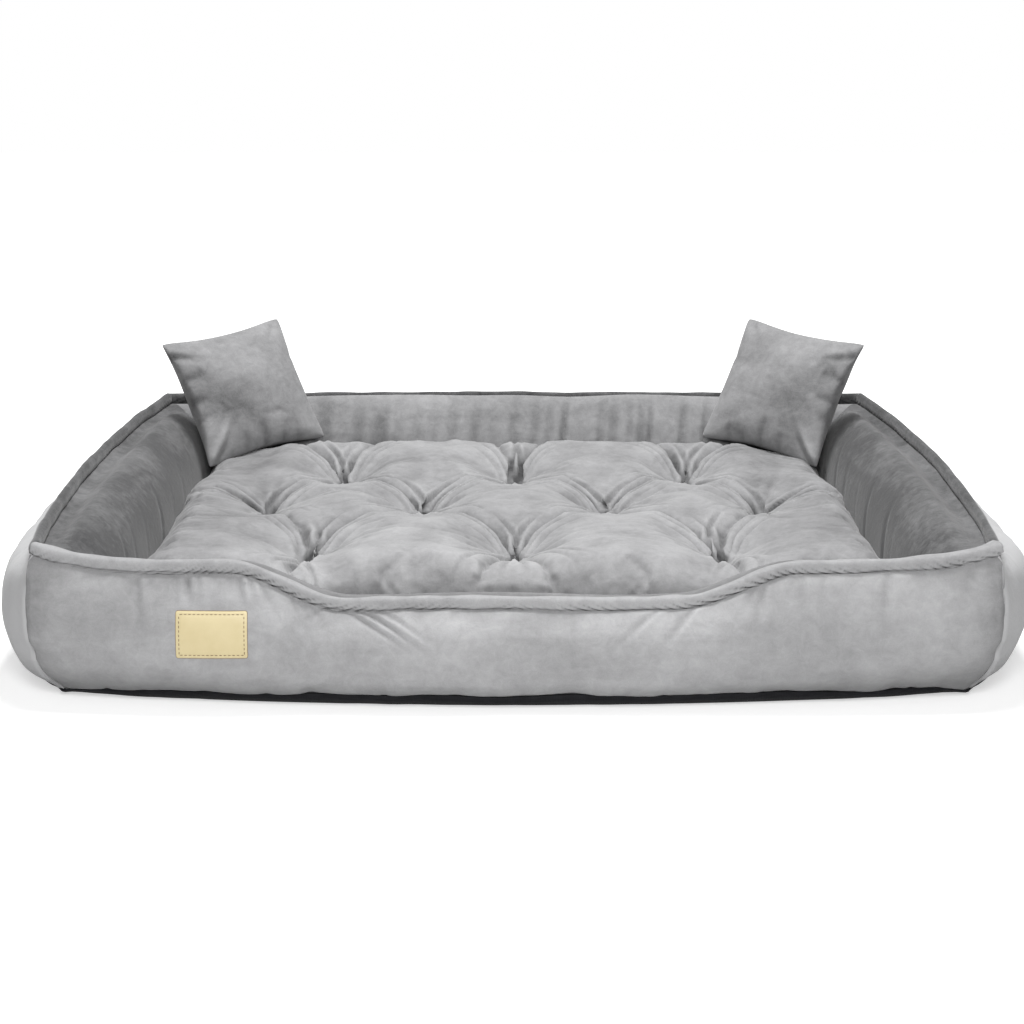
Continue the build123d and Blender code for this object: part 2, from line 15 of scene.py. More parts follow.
import bpy
import numpy as np
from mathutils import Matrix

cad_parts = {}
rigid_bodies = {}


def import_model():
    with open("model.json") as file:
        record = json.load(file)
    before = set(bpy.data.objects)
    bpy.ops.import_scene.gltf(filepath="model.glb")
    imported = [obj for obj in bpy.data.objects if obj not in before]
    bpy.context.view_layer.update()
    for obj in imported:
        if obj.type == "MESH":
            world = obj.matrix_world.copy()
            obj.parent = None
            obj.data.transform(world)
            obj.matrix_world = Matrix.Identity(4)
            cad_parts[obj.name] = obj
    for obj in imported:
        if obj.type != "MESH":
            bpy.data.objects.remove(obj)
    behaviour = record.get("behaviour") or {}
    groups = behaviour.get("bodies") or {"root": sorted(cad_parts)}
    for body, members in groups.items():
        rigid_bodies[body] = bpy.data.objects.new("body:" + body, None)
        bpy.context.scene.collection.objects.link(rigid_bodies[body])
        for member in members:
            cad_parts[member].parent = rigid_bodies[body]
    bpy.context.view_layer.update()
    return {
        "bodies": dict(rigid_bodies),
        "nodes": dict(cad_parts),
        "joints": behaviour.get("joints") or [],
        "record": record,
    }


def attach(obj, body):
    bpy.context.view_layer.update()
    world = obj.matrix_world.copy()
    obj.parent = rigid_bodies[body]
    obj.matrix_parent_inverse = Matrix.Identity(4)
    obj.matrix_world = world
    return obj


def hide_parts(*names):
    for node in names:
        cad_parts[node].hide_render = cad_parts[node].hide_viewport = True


Array = np.ndarray
LOG = logging.getLogger("sofa_bed")
MM = 0.001
TURN = 2 * np.pi


# Shaping in numbers

def ease(value: Array) -> Array:
    """A smooth step from 0 to 1: three times the square less twice the cube."""
    held = np.clip(value, 0.0, 1.0)
    return held * held * (3.0 - 2.0 * held)


def blend(low: Array, high: Array, share: Array) -> Array:
    """A value part of the way from low to high."""
    return low + (high - low) * share


def bell(value: Array) -> Array:
    """A bell curve: e to the minus square of the value."""
    return np.exp(-(value**2))


def hermite(part: Array, step: Array, ends: tuple[Array, Array],
            slopes: tuple[Array, Array]) -> Array:
    """The Hermite cubic between two values.

    Args:
        part: How far between them, from 0 to 1.
        step: The distance between them.
        ends: The two values.
        slopes: The slopes at them.

    Returns:
        The values in between.
    """
    square, cube = part**2, part**3
    return (
        (2 * cube - 3 * square + 1) * ends[0]
        + (cube - 2 * square + part) * step * slopes[0]
        + (3 * square - 2 * cube) * ends[1]
        + (cube - square) * step * slopes[1]
    )


def eased_through(knots: Array, values: Array, places: Array) -> Array:
    """A monotone cubic through given values, level at its first knot.

    Each inner slope is the harmonic mean of the slopes either side, so that the curve never
    overshoots.

    Args:
        knots: Rising places of the values.
        values: Values at the knots.
        places: Where the curve is wanted.

    Returns:
        The curve's values, with the shape of places.
    """
    step = np.diff(knots)
    rate = np.diff(values) / step
    product = rate[:-1] * rate[1:]
    total = rate[:-1] + rate[1:]
    inner = np.where(product > 0, 2 * product / np.where(total == 0, 1, total), 0.0)
    slope = np.concatenate([[0.0], inner, rate[-1:]])
    index = np.clip(np.searchsorted(knots, places, side="right") - 1, 0, len(step) - 1)
    part = (places - knots[index]) / step[index]
    ends = values[index], values[index + 1]
    return hermite(part, step[index], ends, (slope[index], slope[index + 1]))


def curve_through(points: Array, shares: Array) -> Array:
    """Smooth curves through rows of points, by share of the chord length.

    The slope at a point is the mean of the chords' directions either side, weighted towards
    the shorter chord; between points it is the Hermite cubic.

    Args:
        points: Rows of points, shaped (rows, points, 2).
        shares: Rising shares of the length, from 0 to 1.

    Returns:
        Points on the curves, shaped (rows, shares, 2).
    """
    chord = np.diff(points, axis=1)
    step = np.linalg.norm(chord, axis=2)
    knot = np.concatenate([np.zeros((len(points), 1)), np.cumsum(step, axis=1)], axis=1)
    rate = chord / step[..., None]
    weight = (step[:, 1:] / (step[:, 1:] + step[:, :-1]))[..., None]
    inner = rate[:, :-1] * weight + rate[:, 1:] * (1 - weight)
    first = 1.5 * rate[:, :1] - 0.5 * inner[:, :1]
    last = 1.5 * rate[:, -1:] - 0.5 * inner[:, -1:]
    slope = np.concatenate([first, inner, last], axis=1)
    place = shares[None, :] * knot[:, -1:]
    index = (place[..., None] >= knot[:, None, 1:-1]).sum(axis=-1)

    def at(table: Array, shift: int = 0) -> Array:
        """Rows of a table at the found knots."""
        return np.take_along_axis(table, (index + shift)[..., None], axis=1)

    length = at(step[..., None])
    part = (place[..., None] - at(knot[..., None])) / length
    return hermite(part, length, (at(points), at(points, 1)), (at(slope), at(slope, 1)))


def ripple(first: Array, second: Array, wavelength: float, seed: int, waves: int = 14) -> Array:
    """Soft unevenness: the mean of many sine waves of random headings near one wavelength.

    Args:
        first: One coordinate in millimetres.
        second: The other coordinate.
        wavelength: Typical distance between crests in millimetres.
        seed: Start of the random draws.
        waves: How many waves are added.

    Returns:
        Values mostly between -1 and 1.
    """
    chance = np.random.default_rng(seed)
    heading = chance.uniform(0, TURN, waves)
    pace = TURN / (wavelength * chance.uniform(0.65, 1.6, waves))
    phase = chance.uniform(0, TURN, waves)
    total = np.zeros(np.broadcast(first, second).shape)
    for angle, rate, start in zip(heading, pace, phase):
        total += np.sin(rate * (np.cos(angle) * first + np.sin(angle) * second) + start)
    return total / np.sqrt(waves)


def normals_of(points: Array) -> Array:
    """Unit normals of a grid: the cross product of its two directions."""
    across = np.gradient(points, axis=0)
    down = np.gradient(points, axis=1)
    normal = np.cross(across, down)
    return normal / np.maximum(np.linalg.norm(normal, axis=2, keepdims=True), 1e-9)


def beside_line(x: Array, y: Array, start: tuple, end: tuple) -> tuple[Array, Array]:
    """Each point's distance from a straight line, and the share along it of the nearest place."""
    run_x, run_y = end[0] - start[0], end[1] - start[1]
    from_x, from_y = x - start[0], y - start[1]
    share = np.clip((from_x * run_x + from_y * run_y) / (run_x**2 + run_y**2), 0, 1)
    return np.hypot(from_x - share * run_x, from_y - share * run_y), share


def resampled(field: Array, rows: int, columns: int) -> Array:
    """A coarse grid of values on a finer grid of the same extent, by cubic interpolation."""
    def along_first(table: Array, count: int) -> Array:
        """Catmull-Rom interpolation along the first axis."""
        place = np.linspace(0, len(table) - 1, count)
        index = np.clip(place.astype(int), 0, len(table) - 2)
        part = (place - index).reshape((-1,) + (1,) * (table.ndim - 1))
        a, b, c, d = (table[np.clip(index + k, 0, len(table) - 1)] for k in (-1, 0, 1, 2))
        cubic = 2 * a - 5 * b + 4 * c - d + part * (3 * (b - c) + d - a)
        return b + 0.5 * part * (c - a + part * cubic)

    return along_first(along_first(field, rows).swapaxes(0, 1), columns).swapaxes(0, 1)


# Meshes

def grid_quads(rows: int, columns: int, closed: bool = False) -> Array:
    """Quads of a grid of points, its columns closed into a ring if asked."""
    row = np.arange(rows - 1)[:, None]
    column = np.arange(columns if closed else columns - 1)[None, :]
    following = (column + 1) % columns
    corners = (row * columns + column, row * columns + following,
               (row + 1) * columns + following, (row + 1) * columns + column)
    return np.stack(np.broadcast_arrays(*corners), axis=-1).reshape(-1, 4)


def volume_of(points: Array, quads: Array) -> float:
    """Signed volume under the quads: a sixth of the sum of the corner products."""
    a, b, c, d = (points[quads[:, k]] for k in range(4))
    return float((np.cross(a, b) * c).sum() + (np.cross(a, c) * d).sum()) / 6


def in_scene(name: str, data: bpy.types.ID) -> bpy.types.Object:
    """A new object, linked to the scene."""
    thing = bpy.data.objects.new(name, data)
    bpy.context.scene.collection.objects.link(thing)
    return thing


def make_piece(name: str, points: Array, quads: Array, caps: tuple = (),
               sharp: float | None = None) -> bpy.types.Object:
    """Make a closed mesh with its faces outward.

    Args:
        name: The piece's name.
        points: Points in millimetres, shaped (n, 3).
        quads: Quads of point numbers.
        caps: Rings of point numbers that close open ends.
        sharp: Angle in degrees past which an edge stays sharp.

    Returns:
        The new object, linked to the scene.
    """
    flip = volume_of(points, quads) < 0
    faces = (quads[:, ::-1] if flip else quads).tolist()
    faces += [list(ring)[::-1] if flip else list(ring) for ring in caps]
    mesh = bpy.data.meshes.new(name)
    mesh.from_pydata((points * MM).tolist(), [], faces)
    mesh.update()
    mesh.polygons.foreach_set("use_smooth", np.ones(len(mesh.polygons), bool))
    if sharp is not None:
        mesh.set_sharp_from_angle(angle=np.radians(sharp))
    return in_scene(name, mesh)


def paint_shading(piece: bpy.types.Object, nap: Array) -> None:
    """Store the painted light and shade at each point: below 0 the colour is painted darker, above 0 lighter.
    """
    attribute = piece.data.attributes.new("nap", "FLOAT", "POINT")
    attribute.data.foreach_set("value", nap.reshape(-1).astype(np.float32))


def tube(name: str, loop: Array, sharp: float | None = None) -> bpy.types.Object:
    """A closed piece from rings of points, shaped (rings, points, 3), with its ends capped."""
    rings, around = loop.shape[:2]
    last = (rings - 1) * around
    caps = (range(around - 1, -1, -1), range(last, last + around))
    quads = grid_quads(rings, around, closed=True)
    return make_piece(name, loop.reshape(-1, 3), quads, caps, sharp=sharp)


def shell_between(name: str, upper: Array, lower: Array, sharp: float) -> bpy.types.Object:
    """A closed piece between two grids of the same size, one over the other."""
    rows, columns = upper.shape[:2]
    count = rows * columns
    top = grid_quads(rows, columns)
    numbers = np.arange(count).reshape(rows, columns)
    edge = np.concatenate([numbers[0, :-1], numbers[:-1, -1], numbers[-1, :0:-1],
                           numbers[:0:-1, 0]])
    following = np.roll(edge, -1)
    sides = np.stack([edge, edge + count, following + count, following], axis=1)
    points = np.concatenate([upper.reshape(-1, 3), lower.reshape(-1, 3)])
    return make_piece(name, points, np.concatenate([top, top[:, ::-1] + count, sides]), sharp=sharp)


def edge_cells(numbers: Array, skip: int) -> tuple[Array, list[Array]]:
    """Cells of every few rows and columns of a grid, with every point of the grid's own edge.

    Args:
        numbers: Point numbers, shaped (rows, columns), both one more than a multiple of skip.
        skip: How many steps of the grid a cell spans.

    Returns:
        Quads of the cells inside, and rings of the cells that lie on the edge.
    """
    coarse = numbers[::skip, ::skip]
    quads = np.stack([coarse[:-1, :-1], coarse[:-1, 1:], coarse[1:, 1:], coarse[1:, :-1]], axis=-1)
    rows, columns = quads.shape[:2]
    rings = []
    for i, j in np.ndindex(rows, columns):
        if 0 < i < rows - 1 and 0 < j < columns - 1:
            continue
        a, b = i * skip, j * skip
        block = numbers[a:a + skip + 1, b:b + skip + 1]
        sides = (block[0, :-1] if i == 0 else block[0, :1],
                 block[:-1, -1] if j == columns - 1 else block[:1, -1],
                 block[-1, :0:-1] if i == rows - 1 else block[-1, -1:],
                 block[:0:-1, 0] if j == 0 else block[-1:, 0])
        rings.append(np.concatenate(sides))
    return quads[1:-1, 1:-1].reshape(-1, 4), rings


def sewn(name: str, upper: Array, lower: Array, nap: Array, skip: int = 1) -> bpy.types.Object:
    """A cushion of two grids of the same size that share the points of their edges.

    Args:
        name: The piece's name.
        upper: Points of the upper cloth.
        lower: Points of the lower cloth.
        nap: The painted light and shade of the upper cloth.
        skip: How many steps of the grid a face of the lower cloth spans.

    Returns:
        The cushion.
    """
    rows, columns = upper.shape[:2]
    count = rows * columns
    numbers = np.arange(count).reshape(rows, columns)
    other = numbers + count
    other[[0, -1], :] = numbers[[0, -1], :]
    other[:, [0, -1]] = numbers[:, [0, -1]]
    under, rings = edge_cells(other, skip)
    quads = np.concatenate([grid_quads(rows, columns), under[:, ::-1]])
    points = np.concatenate([upper.reshape(-1, 3), lower.reshape(-1, 3)])
    used = np.unique(np.concatenate([quads.reshape(-1), *rings]))
    caps = tuple(np.searchsorted(used, ring[::-1]).tolist() for ring in rings)
    piece = make_piece(name, points[used], np.searchsorted(used, quads), caps)
    paint_shading(piece, np.concatenate([nap.reshape(-1), np.zeros(count)])[used])
    return piece


def repeated(template: Array, quads: Array, places: Array, along: Array, across: Array,
             out: Array) -> tuple[Array, Array]:
    """Copies of one small shape, each placed and turned.

    A copy's point is its place, plus the template's three coordinates along the copy's three
    directions.

    Args:
        template: The shape's points, shaped (n, 3).
        quads: The shape's quads.
        places: Places of the copies, shaped (copies, 3).
        along: First direction, one for all or one for each copy.
        across: Second direction, likewise.
        out: Third direction, likewise.

    Returns:
        All the points and all the quads.
    """
    axes = np.stack([np.broadcast_to(way, places.shape) for way in (along, across, out)], axis=1)
    points = places[:, None, :] + np.einsum("nk,ckd->cnd", template, axes)
    shift = np.arange(len(places))[:, None, None] * len(template)
    return points.reshape(-1, 3), (quads[None] + shift).reshape(-1, 4)


def peg(length: float, width: float, height: float, sides: int = 6) -> tuple[Array, Array]:
    """A small rounded peg along its first axis: rings of an ellipse that shrink at the ends."""
    run = np.array([-0.5, -0.42, 0.0, 0.42, 0.5]) * length
    size = np.array([0.35, 0.85, 1.0, 0.85, 0.35])
    angle = np.arange(sides) * TURN / sides
    across, up = np.cos(angle) * width / 2, np.sin(angle) * height / 2
    ring = np.stack([np.zeros(sides), across, up], axis=1)
    points = ring[None] * size[:, None, None] + np.stack([run, run * 0, run * 0], axis=1)[:, None]
    body = grid_quads(len(run), sides, closed=True)
    last = (len(run) - 1) * sides
    ends = [[start + k, start + k + 1, start + sides - 2 - k, start + sides - 1 - k]
            for start in (0, last) for k in range(sides // 2 - 1)]
    return points.reshape(-1, 3), np.concatenate([body, np.array(ends)])


# Finishes

def feed(tree: bpy.types.NodeTree, node: bpy.types.Node, inputs: dict) -> None:
    """Set a node's inputs, by name or number, to values, or link them to sockets."""
    for name, value in inputs.items():
        if isinstance(value, bpy.types.NodeSocket):
            tree.links.new(value, node.inputs[name])
        else:
            node.inputs[name].default_value = value


def add_node(tree: bpy.types.NodeTree, kind: str, inputs: dict | None = None,
             **settings: object) -> bpy.types.Node:
    """Add a node to a tree.

    Args:
        tree: The node tree.
        kind: Blender's name of the node.
        inputs: Values or sockets for its inputs, by name or number.
        settings: Its other settings.

    Returns:
        The node.
    """
    node = tree.nodes.new(kind)
    for name, value in settings.items():
        setattr(node, name, value)
    feed(tree, node, inputs or {})
    return node


class Recipe:
    """A material's node tree, with short ways to add nodes and join them."""

    def __init__(self, name: str) -> None:
        """Start from the shader alone."""
        self.material = bpy.data.materials.new(name)
        self.material.use_nodes = True
        self.tree = self.material.node_tree
        self.shader = self.tree.nodes["Principled BSDF"]
        self.place = self.add("ShaderNodeTexCoord").outputs["Object"]

    def add(self, kind: str, inputs: dict | None = None, **settings: object) -> bpy.types.Node:
        """Add a node to the material's tree."""
        return add_node(self.tree, kind, inputs, **settings)

    def stretched(self, scale: tuple, turn: tuple) -> bpy.types.NodeSocket:
        """The object's coordinates, scaled and turned."""
        given = {"Vector": self.place, "Scale": scale, "Rotation": turn}
        return self.add("ShaderNodeMapping", given).outputs[0]

    def noise(self, scale: float, detail: float, rough: float = 0.55, warp: float = 0.0,
              place: bpy.types.NodeSocket | None = None) -> bpy.types.NodeSocket:
        """A noise value from 0 to 1."""
        given = {"Vector": place or self.place, "Scale": scale, "Detail": detail,
                 "Roughness": rough, "Distortion": warp}
        return self.add("ShaderNodeTexNoise", given).outputs["Fac"]

    def spread(self, value: bpy.types.NodeSocket, low: float, high: float, to_low: float,
               to_high: float) -> bpy.types.NodeSocket:
        """A value's range moved to another range, and held there."""
        given = {"Value": value, "From Min": low, "From Max": high, "To Min": to_low,
                 "To Max": to_high}
        return self.add("ShaderNodeMapRange", given).outputs[0]

    def sum(self, *values: bpy.types.NodeSocket) -> bpy.types.NodeSocket:
        """The sum of several values."""
        total = values[0]
        for value in values[1:]:
            total = self.add("ShaderNodeMath", {0: total, 1: value}, operation="ADD").outputs[0]
        return total

    def between(self, dark: tuple, light: tuple,
                share: bpy.types.NodeSocket) -> bpy.types.NodeSocket:
        """A colour between two, by a share."""
        given = {"A": (*dark, 1.0), "B": (*light, 1.0), "Factor": share}
        return self.add("ShaderNodeMix", given, data_type="RGBA").outputs["Result"]

    def bump(self, height: bpy.types.NodeSocket, distance: float, strength: float,
             normal: bpy.types.NodeSocket | None = None) -> bpy.types.NodeSocket:
        """A bumped normal, over another one if given."""
        given = {"Height": height, "Distance": distance, "Strength": strength}
        if normal is not None:
            given["Normal"] = normal
        return self.add("ShaderNodeBump", given).outputs[0]

    def wear(self, **inputs: object) -> None:
        """Set or link the shader's inputs, underscores standing for spaces."""
        spaced = {name.replace("_", " "): value for name, value in inputs.items()}
        feed(self.tree, self.shader, spaced)


@dataclass(frozen=True)
class Velvet:
    """Short-pile velvet: brushed patches, pressed marks, a soft sheen, painted light and shade."""

    name: str = "velvet"
    dark: tuple = (0.03, 0.03, 0.031)
    light: tuple = (0.37, 0.37, 0.375)
    sheen: float = 0.14
    sheen_roughness: float = 0.45

    def material(self) -> bpy.types.Material:
        """Mix pile patches, brushed streaks, pressed marks and painted light and shade over a fine pile."""
        mix = Recipe(self.name)
        brushed = mix.stretched((1.0, 1.0, 3.4), (0.2, 0.3, 0.0))
        patches = mix.spread(mix.noise(5.5, 3.0, 0.6, 0.4), 0.3, 0.7, -0.09, 0.09)
        streaks = mix.spread(mix.noise(9.0, 4.0, 0.6, 0.8, brushed), 0.3, 0.7, -0.08, 0.08)
        marks = mix.spread(mix.noise(75.0, 6.0, 0.72, 0.5), 0.3, 0.7, -0.1, 0.1)
        pile = mix.spread(mix.noise(1100.0, 2.0), 0.25, 0.75, -0.05, 0.05)
        middle = mix.spread(patches, -1.0, 1.0, 0.0, 1.0)
        # Painted light and shade that each piece carries per point, added to the share of the light colour.
        nap = mix.add("ShaderNodeAttribute", attribute_name="nap").outputs["Fac"]
        share = mix.sum(middle, streaks, marks, pile, nap)
        crush = mix.bump(mix.noise(120.0, 5.0, 0.65, 0.6), 0.0012, 0.5)
        mix.wear(Base_Color=mix.between(self.dark, self.light, share),
                 Normal=mix.bump(mix.noise(1300.0, 2.0), 0.0004, 0.4, crush),
                 Roughness=mix.spread(marks, -0.1, 0.1, 0.78, 0.95),
                 Sheen_Weight=self.sheen, Sheen_Roughness=self.sheen_roughness,
                 Specular_IOR_Level=0.25)
        return mix.material


@dataclass(frozen=True)
class Woven:
    """Plain woven cloth: two crossing sets of threads, a little uneven."""

    name: str
    dark: tuple
    light: tuple
    threads: float = 1400.0
    roughness: float = 0.9

    def material(self) -> bpy.types.Material:
        """Add two crossing waves for the threads, and a soft unevenness."""
        mix = Recipe(self.name)
        wave = {"Vector": mix.place, "Scale": self.threads / 6, "Distortion": 0.4}
        sets = [mix.add("ShaderNodeTexWave", wave, bands_direction=way).outputs["Fac"]
                for way in "XY"]
        rise = mix.sum(*(mix.spread(threads, 0, 1, 0, 0.5) for threads in sets))
        uneven = mix.spread(mix.noise(60.0, 4.0), 0.3, 0.7, -0.25, 0.25)
        share = mix.sum(mix.spread(rise, 0, 1, 0.2, 0.8), uneven)
        mix.wear(Base_Color=mix.between(self.dark, self.light, share), Roughness=self.roughness,
                 Normal=mix.bump(rise, 0.0003, 0.5), Specular_IOR_Level=0.15, Sheen_Weight=0.03)
        return mix.material


@dataclass(frozen=True)
class Leatherette:
    """Smooth coated cloth with a fine pebbled grain."""

    name: str
    dark: tuple
    light: tuple
    roughness: float = 0.42

    def material(self) -> bpy.types.Material:
        """A pebbled bump from cells, under a slightly clouded colour."""
        mix = Recipe(self.name)
        grain = {"Vector": mix.place, "Scale": 900.0}
        cells = mix.add("ShaderNodeTexVoronoi", grain).outputs["Distance"]
        cloud = mix.spread(mix.noise(45.0, 4.0), 0.3, 0.7, 0.2, 0.8)
        mix.wear(Base_Color=mix.between(self.dark, self.light, cloud),
                 Normal=mix.bump(cells, 0.0002, 0.35),
                 Roughness=mix.spread(cloud, 0.2, 0.8, self.roughness, self.roughness + 0.12))
        return mix.material


@dataclass(frozen=True)
class Plain:
    """A moulded or plated surface, with faint scuffs."""

    name: str
    dark: tuple
    light: tuple
    metallic: float
    roughness: float

    def material(self) -> bpy.types.Material:
        """Scuffs in the colour and in the roughness."""
        mix = Recipe(self.name)
        scuff = mix.spread(mix.noise(160.0, 5.0, 0.7, 0.3), 0.3, 0.7, 0.0, 1.0)
        mix.wear(Base_Color=mix.between(self.dark, self.light, scuff), Metallic=self.metallic,
                 Roughness=mix.spread(scuff, 0, 1, self.roughness, self.roughness + 0.15),
                 Normal=mix.bump(mix.noise(700.0, 3.0), 0.0001, 0.2))
        return mix.material


class Finish(Enum):
    """The finishes of the bed, each with the record's slot that it answers to."""

    VELVET = "velvet"
    NONSLIP = "nonslip"
    LINING = "lining"
    LABEL = "label"
    LABEL_EDGE = "label_edge"
    TAPE = "zip_tape"
    TEETH = "zip_teeth"
    METAL = "zip_metal"
    THREAD = "thread"
    STITCH = "stitch"


FINISHES = {
    Finish.VELVET: Velvet(),
    Finish.NONSLIP: Woven("nonslip", (0.004, 0.004, 0.005), (0.013, 0.013, 0.015), 700.0),
    Finish.LINING: Woven("lining", (0.2, 0.2, 0.21), (0.33, 0.33, 0.34), 900.0),
    Finish.LABEL: Leatherette("label", (0.47, 0.39, 0.215), (0.54, 0.46, 0.27)),
    Finish.LABEL_EDGE: Leatherette("label_edge", (0.13, 0.085, 0.045), (0.19, 0.125, 0.07), 0.6),
    Finish.TAPE: Woven("zip_tape", (0.22, 0.22, 0.23), (0.36, 0.36, 0.37)),
    Finish.TEETH: Plain("zip_teeth", (0.3, 0.3, 0.31), (0.4, 0.4, 0.41), 0.0, 0.35),
    Finish.METAL: Plain("zip_metal", (0.5, 0.5, 0.52), (0.66, 0.66, 0.68), 1.0, 0.28),
    Finish.THREAD: Woven("thread", (0.25, 0.25, 0.26), (0.4, 0.4, 0.41), 3000.0),
    Finish.STITCH: Woven("stitch", (0.14, 0.1, 0.06), (0.25, 0.18, 0.11), 3000.0),
}


class Dresser:
    """Gives pieces their finishes, their bodies and the nodes that they stand for."""

    def __init__(self, frame: dict) -> None:
        """Keep the frame and make each finish once."""
        self.frame = frame
        self.materials = {finish: recipe.material() for finish, recipe in FINISHES.items()}

    def dress(self, piece: bpy.types.Object, finish: Finish, body: str, nodes: tuple = ()) -> bpy.types.Object:
        """Finish one piece.

        Args:
            piece: The piece.
            finish: Its finish.
            body: The body that it moves with.
            nodes: The solids that it stands for.

        Returns:
            The piece.
        """
        piece.data.materials.clear()
        piece.data.materials.append(self.materials[finish])
        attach(piece, body)
        if nodes:
            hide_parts(*nodes)
        LOG.info("%s: %d faces, rides on %s", piece.name, len(piece.data.polygons), body)
        return piece

    def recolour(self, node: str, finish: Finish) -> None:
        """Give a solid that stays its finish."""
        solid = self.frame["nodes"][node]
        solid.data.materials.clear()
        solid.data.materials.append(self.materials[finish])
        LOG.info("%s stays, finished as %s", node, finish.value)


# Walls

class Side(Enum):
    """The four walls, each with the direction that it faces and the one that it runs in."""

    FRONT = ("front", (0.0, -1.0), (1.0, 0.0))
    BACK = ("back", (0.0, 1.0), (1.0, 0.0))
    LEFT = ("left", (-1.0, 0.0), (0.0, 1.0))
    RIGHT = ("right", (1.0, 0.0), (0.0, 1.0))


def profile(*pairs: tuple[Array, Array]) -> Array:
    """Points of a profile from pairs of offsets and heights, shaped (runs, pairs, 2)."""
    return np.stack([np.stack(pair, axis=-1) for pair in pairs], axis=1)


@dataclass
class Wall:
    """One stuffed wall with its rim welt. Offsets go outward from the rim's corner line.

    corner holds the offsets of bulge, hip and foot at a mitre and the bulge's share of the
    height there. Each pleat has its place along the wall, depth, reach and slant. label_patch
    and zip_patch hold the middle along the wall, the height, and half the length and the
    height of the cloth that lies flat; zip_band holds half its length and width, and its depth.
    """

    side: Side
    half_run: float
    corner_line: float
    rim_bow: float
    bulge: float
    hip: float
    foot: float
    face: float
    bulge_share: float
    bowed_foot: bool
    shares: tuple
    leans: tuple
    fullness: tuple
    outer_cloth: float = 160.0
    inner_cloth: float = 190.0
    label_patch: tuple = (-321.0, 86.0, 40.0, 27.0)
    zip_patch: tuple = (0.0, 45.0, 326.0, 12.0)
    zip_band: tuple = (321.0, 7.6, 2.1)
    rim_height: float = 165.6
    back_height: float = 168.0
    back_sag: float = -0.5
    front_high: float = 148.0
    front_low: float = 109.0
    dip_half: float = 178.0
    dip_end: float = 305.0
    hip_height: float = 45.0
    low_height: float = 28.0
    foot_height: float = 12.0
    foot_lift: float = 0.0
    floor_top: float = 13.5
    low_swell: float = 4.0
    corner: tuple = (7.0, 0.0, -21.0, 0.7)
    corner_face: float = 83.0
    pleats: tuple = ()
    welt_width: float = 10.0
    welt_height: float = 15.0
    # Painted light and shade: the outer cloth painted lighter, the inner cloth painted darker where it faces
    # in, away from the lamps, and the welt's inner side painted darker than its outer side.
    outer_painted_shading: float = 0.45
    inner_painted_shading: float = -0.54
    welt_painted_shading: tuple = (0.0, -0.45)
    crest_lift: float = 1.045
    shoulder: float = 0.0
    seed: int = 1

    @property
    def name(self) -> str:
        """The wall's name."""
        return self.side.value[0]

    def run_shares(self, spacing: float) -> Array:
        """Shares along the run, from mitre to mitre, closer together near the corners."""
        even = np.linspace(-1.0, 1.0, int(self.half_run * 2 / spacing))
        return blend(even, np.sin(even * np.pi / 2), 0.35)

    def rim_z(self, run: Array) -> Array:
        """Height of the rim seam: it climbs back along the sides and dips in front."""
        if self.side is Side.BACK:
            return self.back_height - self.back_sag * (1 - run**2)
        if self.side is Side.FRONT:
            place = np.abs(run) * self.half_run
            climb = ease((place - self.dip_half) / (self.dip_end - self.dip_half))
            rise = np.clip((place - self.dip_end) / (self.half_run - self.dip_end), 0, 1)
            dipped = blend(self.front_low, self.front_high, climb)
            return dipped + (self.rim_height - self.front_high) * rise**4
        return blend(self.rim_height, self.back_height, (run + 1) / 2)

    def rim_line(self, run: Array) -> tuple[Array, Array]:
        """Offset and height of the rim seam, with the small waves of hand sewing."""
        hold = 1 - run**8
        wave = ripple(run * self.half_run, np.zeros_like(run), 210.0, self.seed, 6)
        lift = ripple(run * self.half_run, np.ones_like(run), 170.0, self.seed + 1, 6)
        return self.rim_bow * (1 - run**2) + 1.2 * wave * hold, self.rim_z(run) + 0.7 * lift * hold

    def filled(self, run: Array) -> Array:
        """How full the stuffing is along the run."""
        return eased_through(np.array(self.shares), np.array(self.fullness), np.abs(run))

    def outer_points(self, run: Array) -> Array:
        """Points of the outer profile, rim to foot, shaped (runs, 5, 2).

        The foot line waves a little and drops at the last of each end.
        """
        full = self.filled(run)
        rim, height = self.rim_line(run)
        bulge, hip, foot, share = self.corner
        low_share = 1 - run**2 if self.bowed_foot else full
        out_hip = blend(hip, self.hip, full)
        out_foot = blend(foot, self.foot, low_share)
        level = np.ones_like(run)
        foot_level = self.foot_height + self.foot_lift * (1 - run**4)
        wave = ripple(run * self.half_run, level, 90.0, self.seed + 2, 7)
        foot_level += 1.2 * wave * (1 - run**8)
        foot_level -= 4.5 * run**26
        return profile(
            (rim, height),
            (blend(bulge, self.bulge, full), height * blend(share, self.bulge_share, full)),
            (out_hip, self.hip_height * level),
            ((out_hip + out_foot) / 2 + self.low_swell,
             self.low_height + self.foot_lift / 2 * level),
            (out_foot, foot_level),
        )

    def inner_points(self, run: Array) -> Array:
        """Points of the inner profile, rim to floor, shaped (runs, 6, 2)."""
        full = 1 - run**6
        rim, height = self.rim_line(run)
        face = -blend(self.corner_face, self.face, full)
        return profile(
            (rim - self.welt_width, height - 1.0),
            (blend(rim, face, 0.2), height - 5.0 * full),
            (blend(rim, face, 0.45), height * blend(0.93, self.crest_lift, full)),
            (blend(rim, face, 0.8), height * blend(0.8, 0.9, full)),
            (face, height * blend(0.55, 0.6, full)),
            (blend(rim, face, 0.86), np.full_like(run, self.floor_top)),
        )

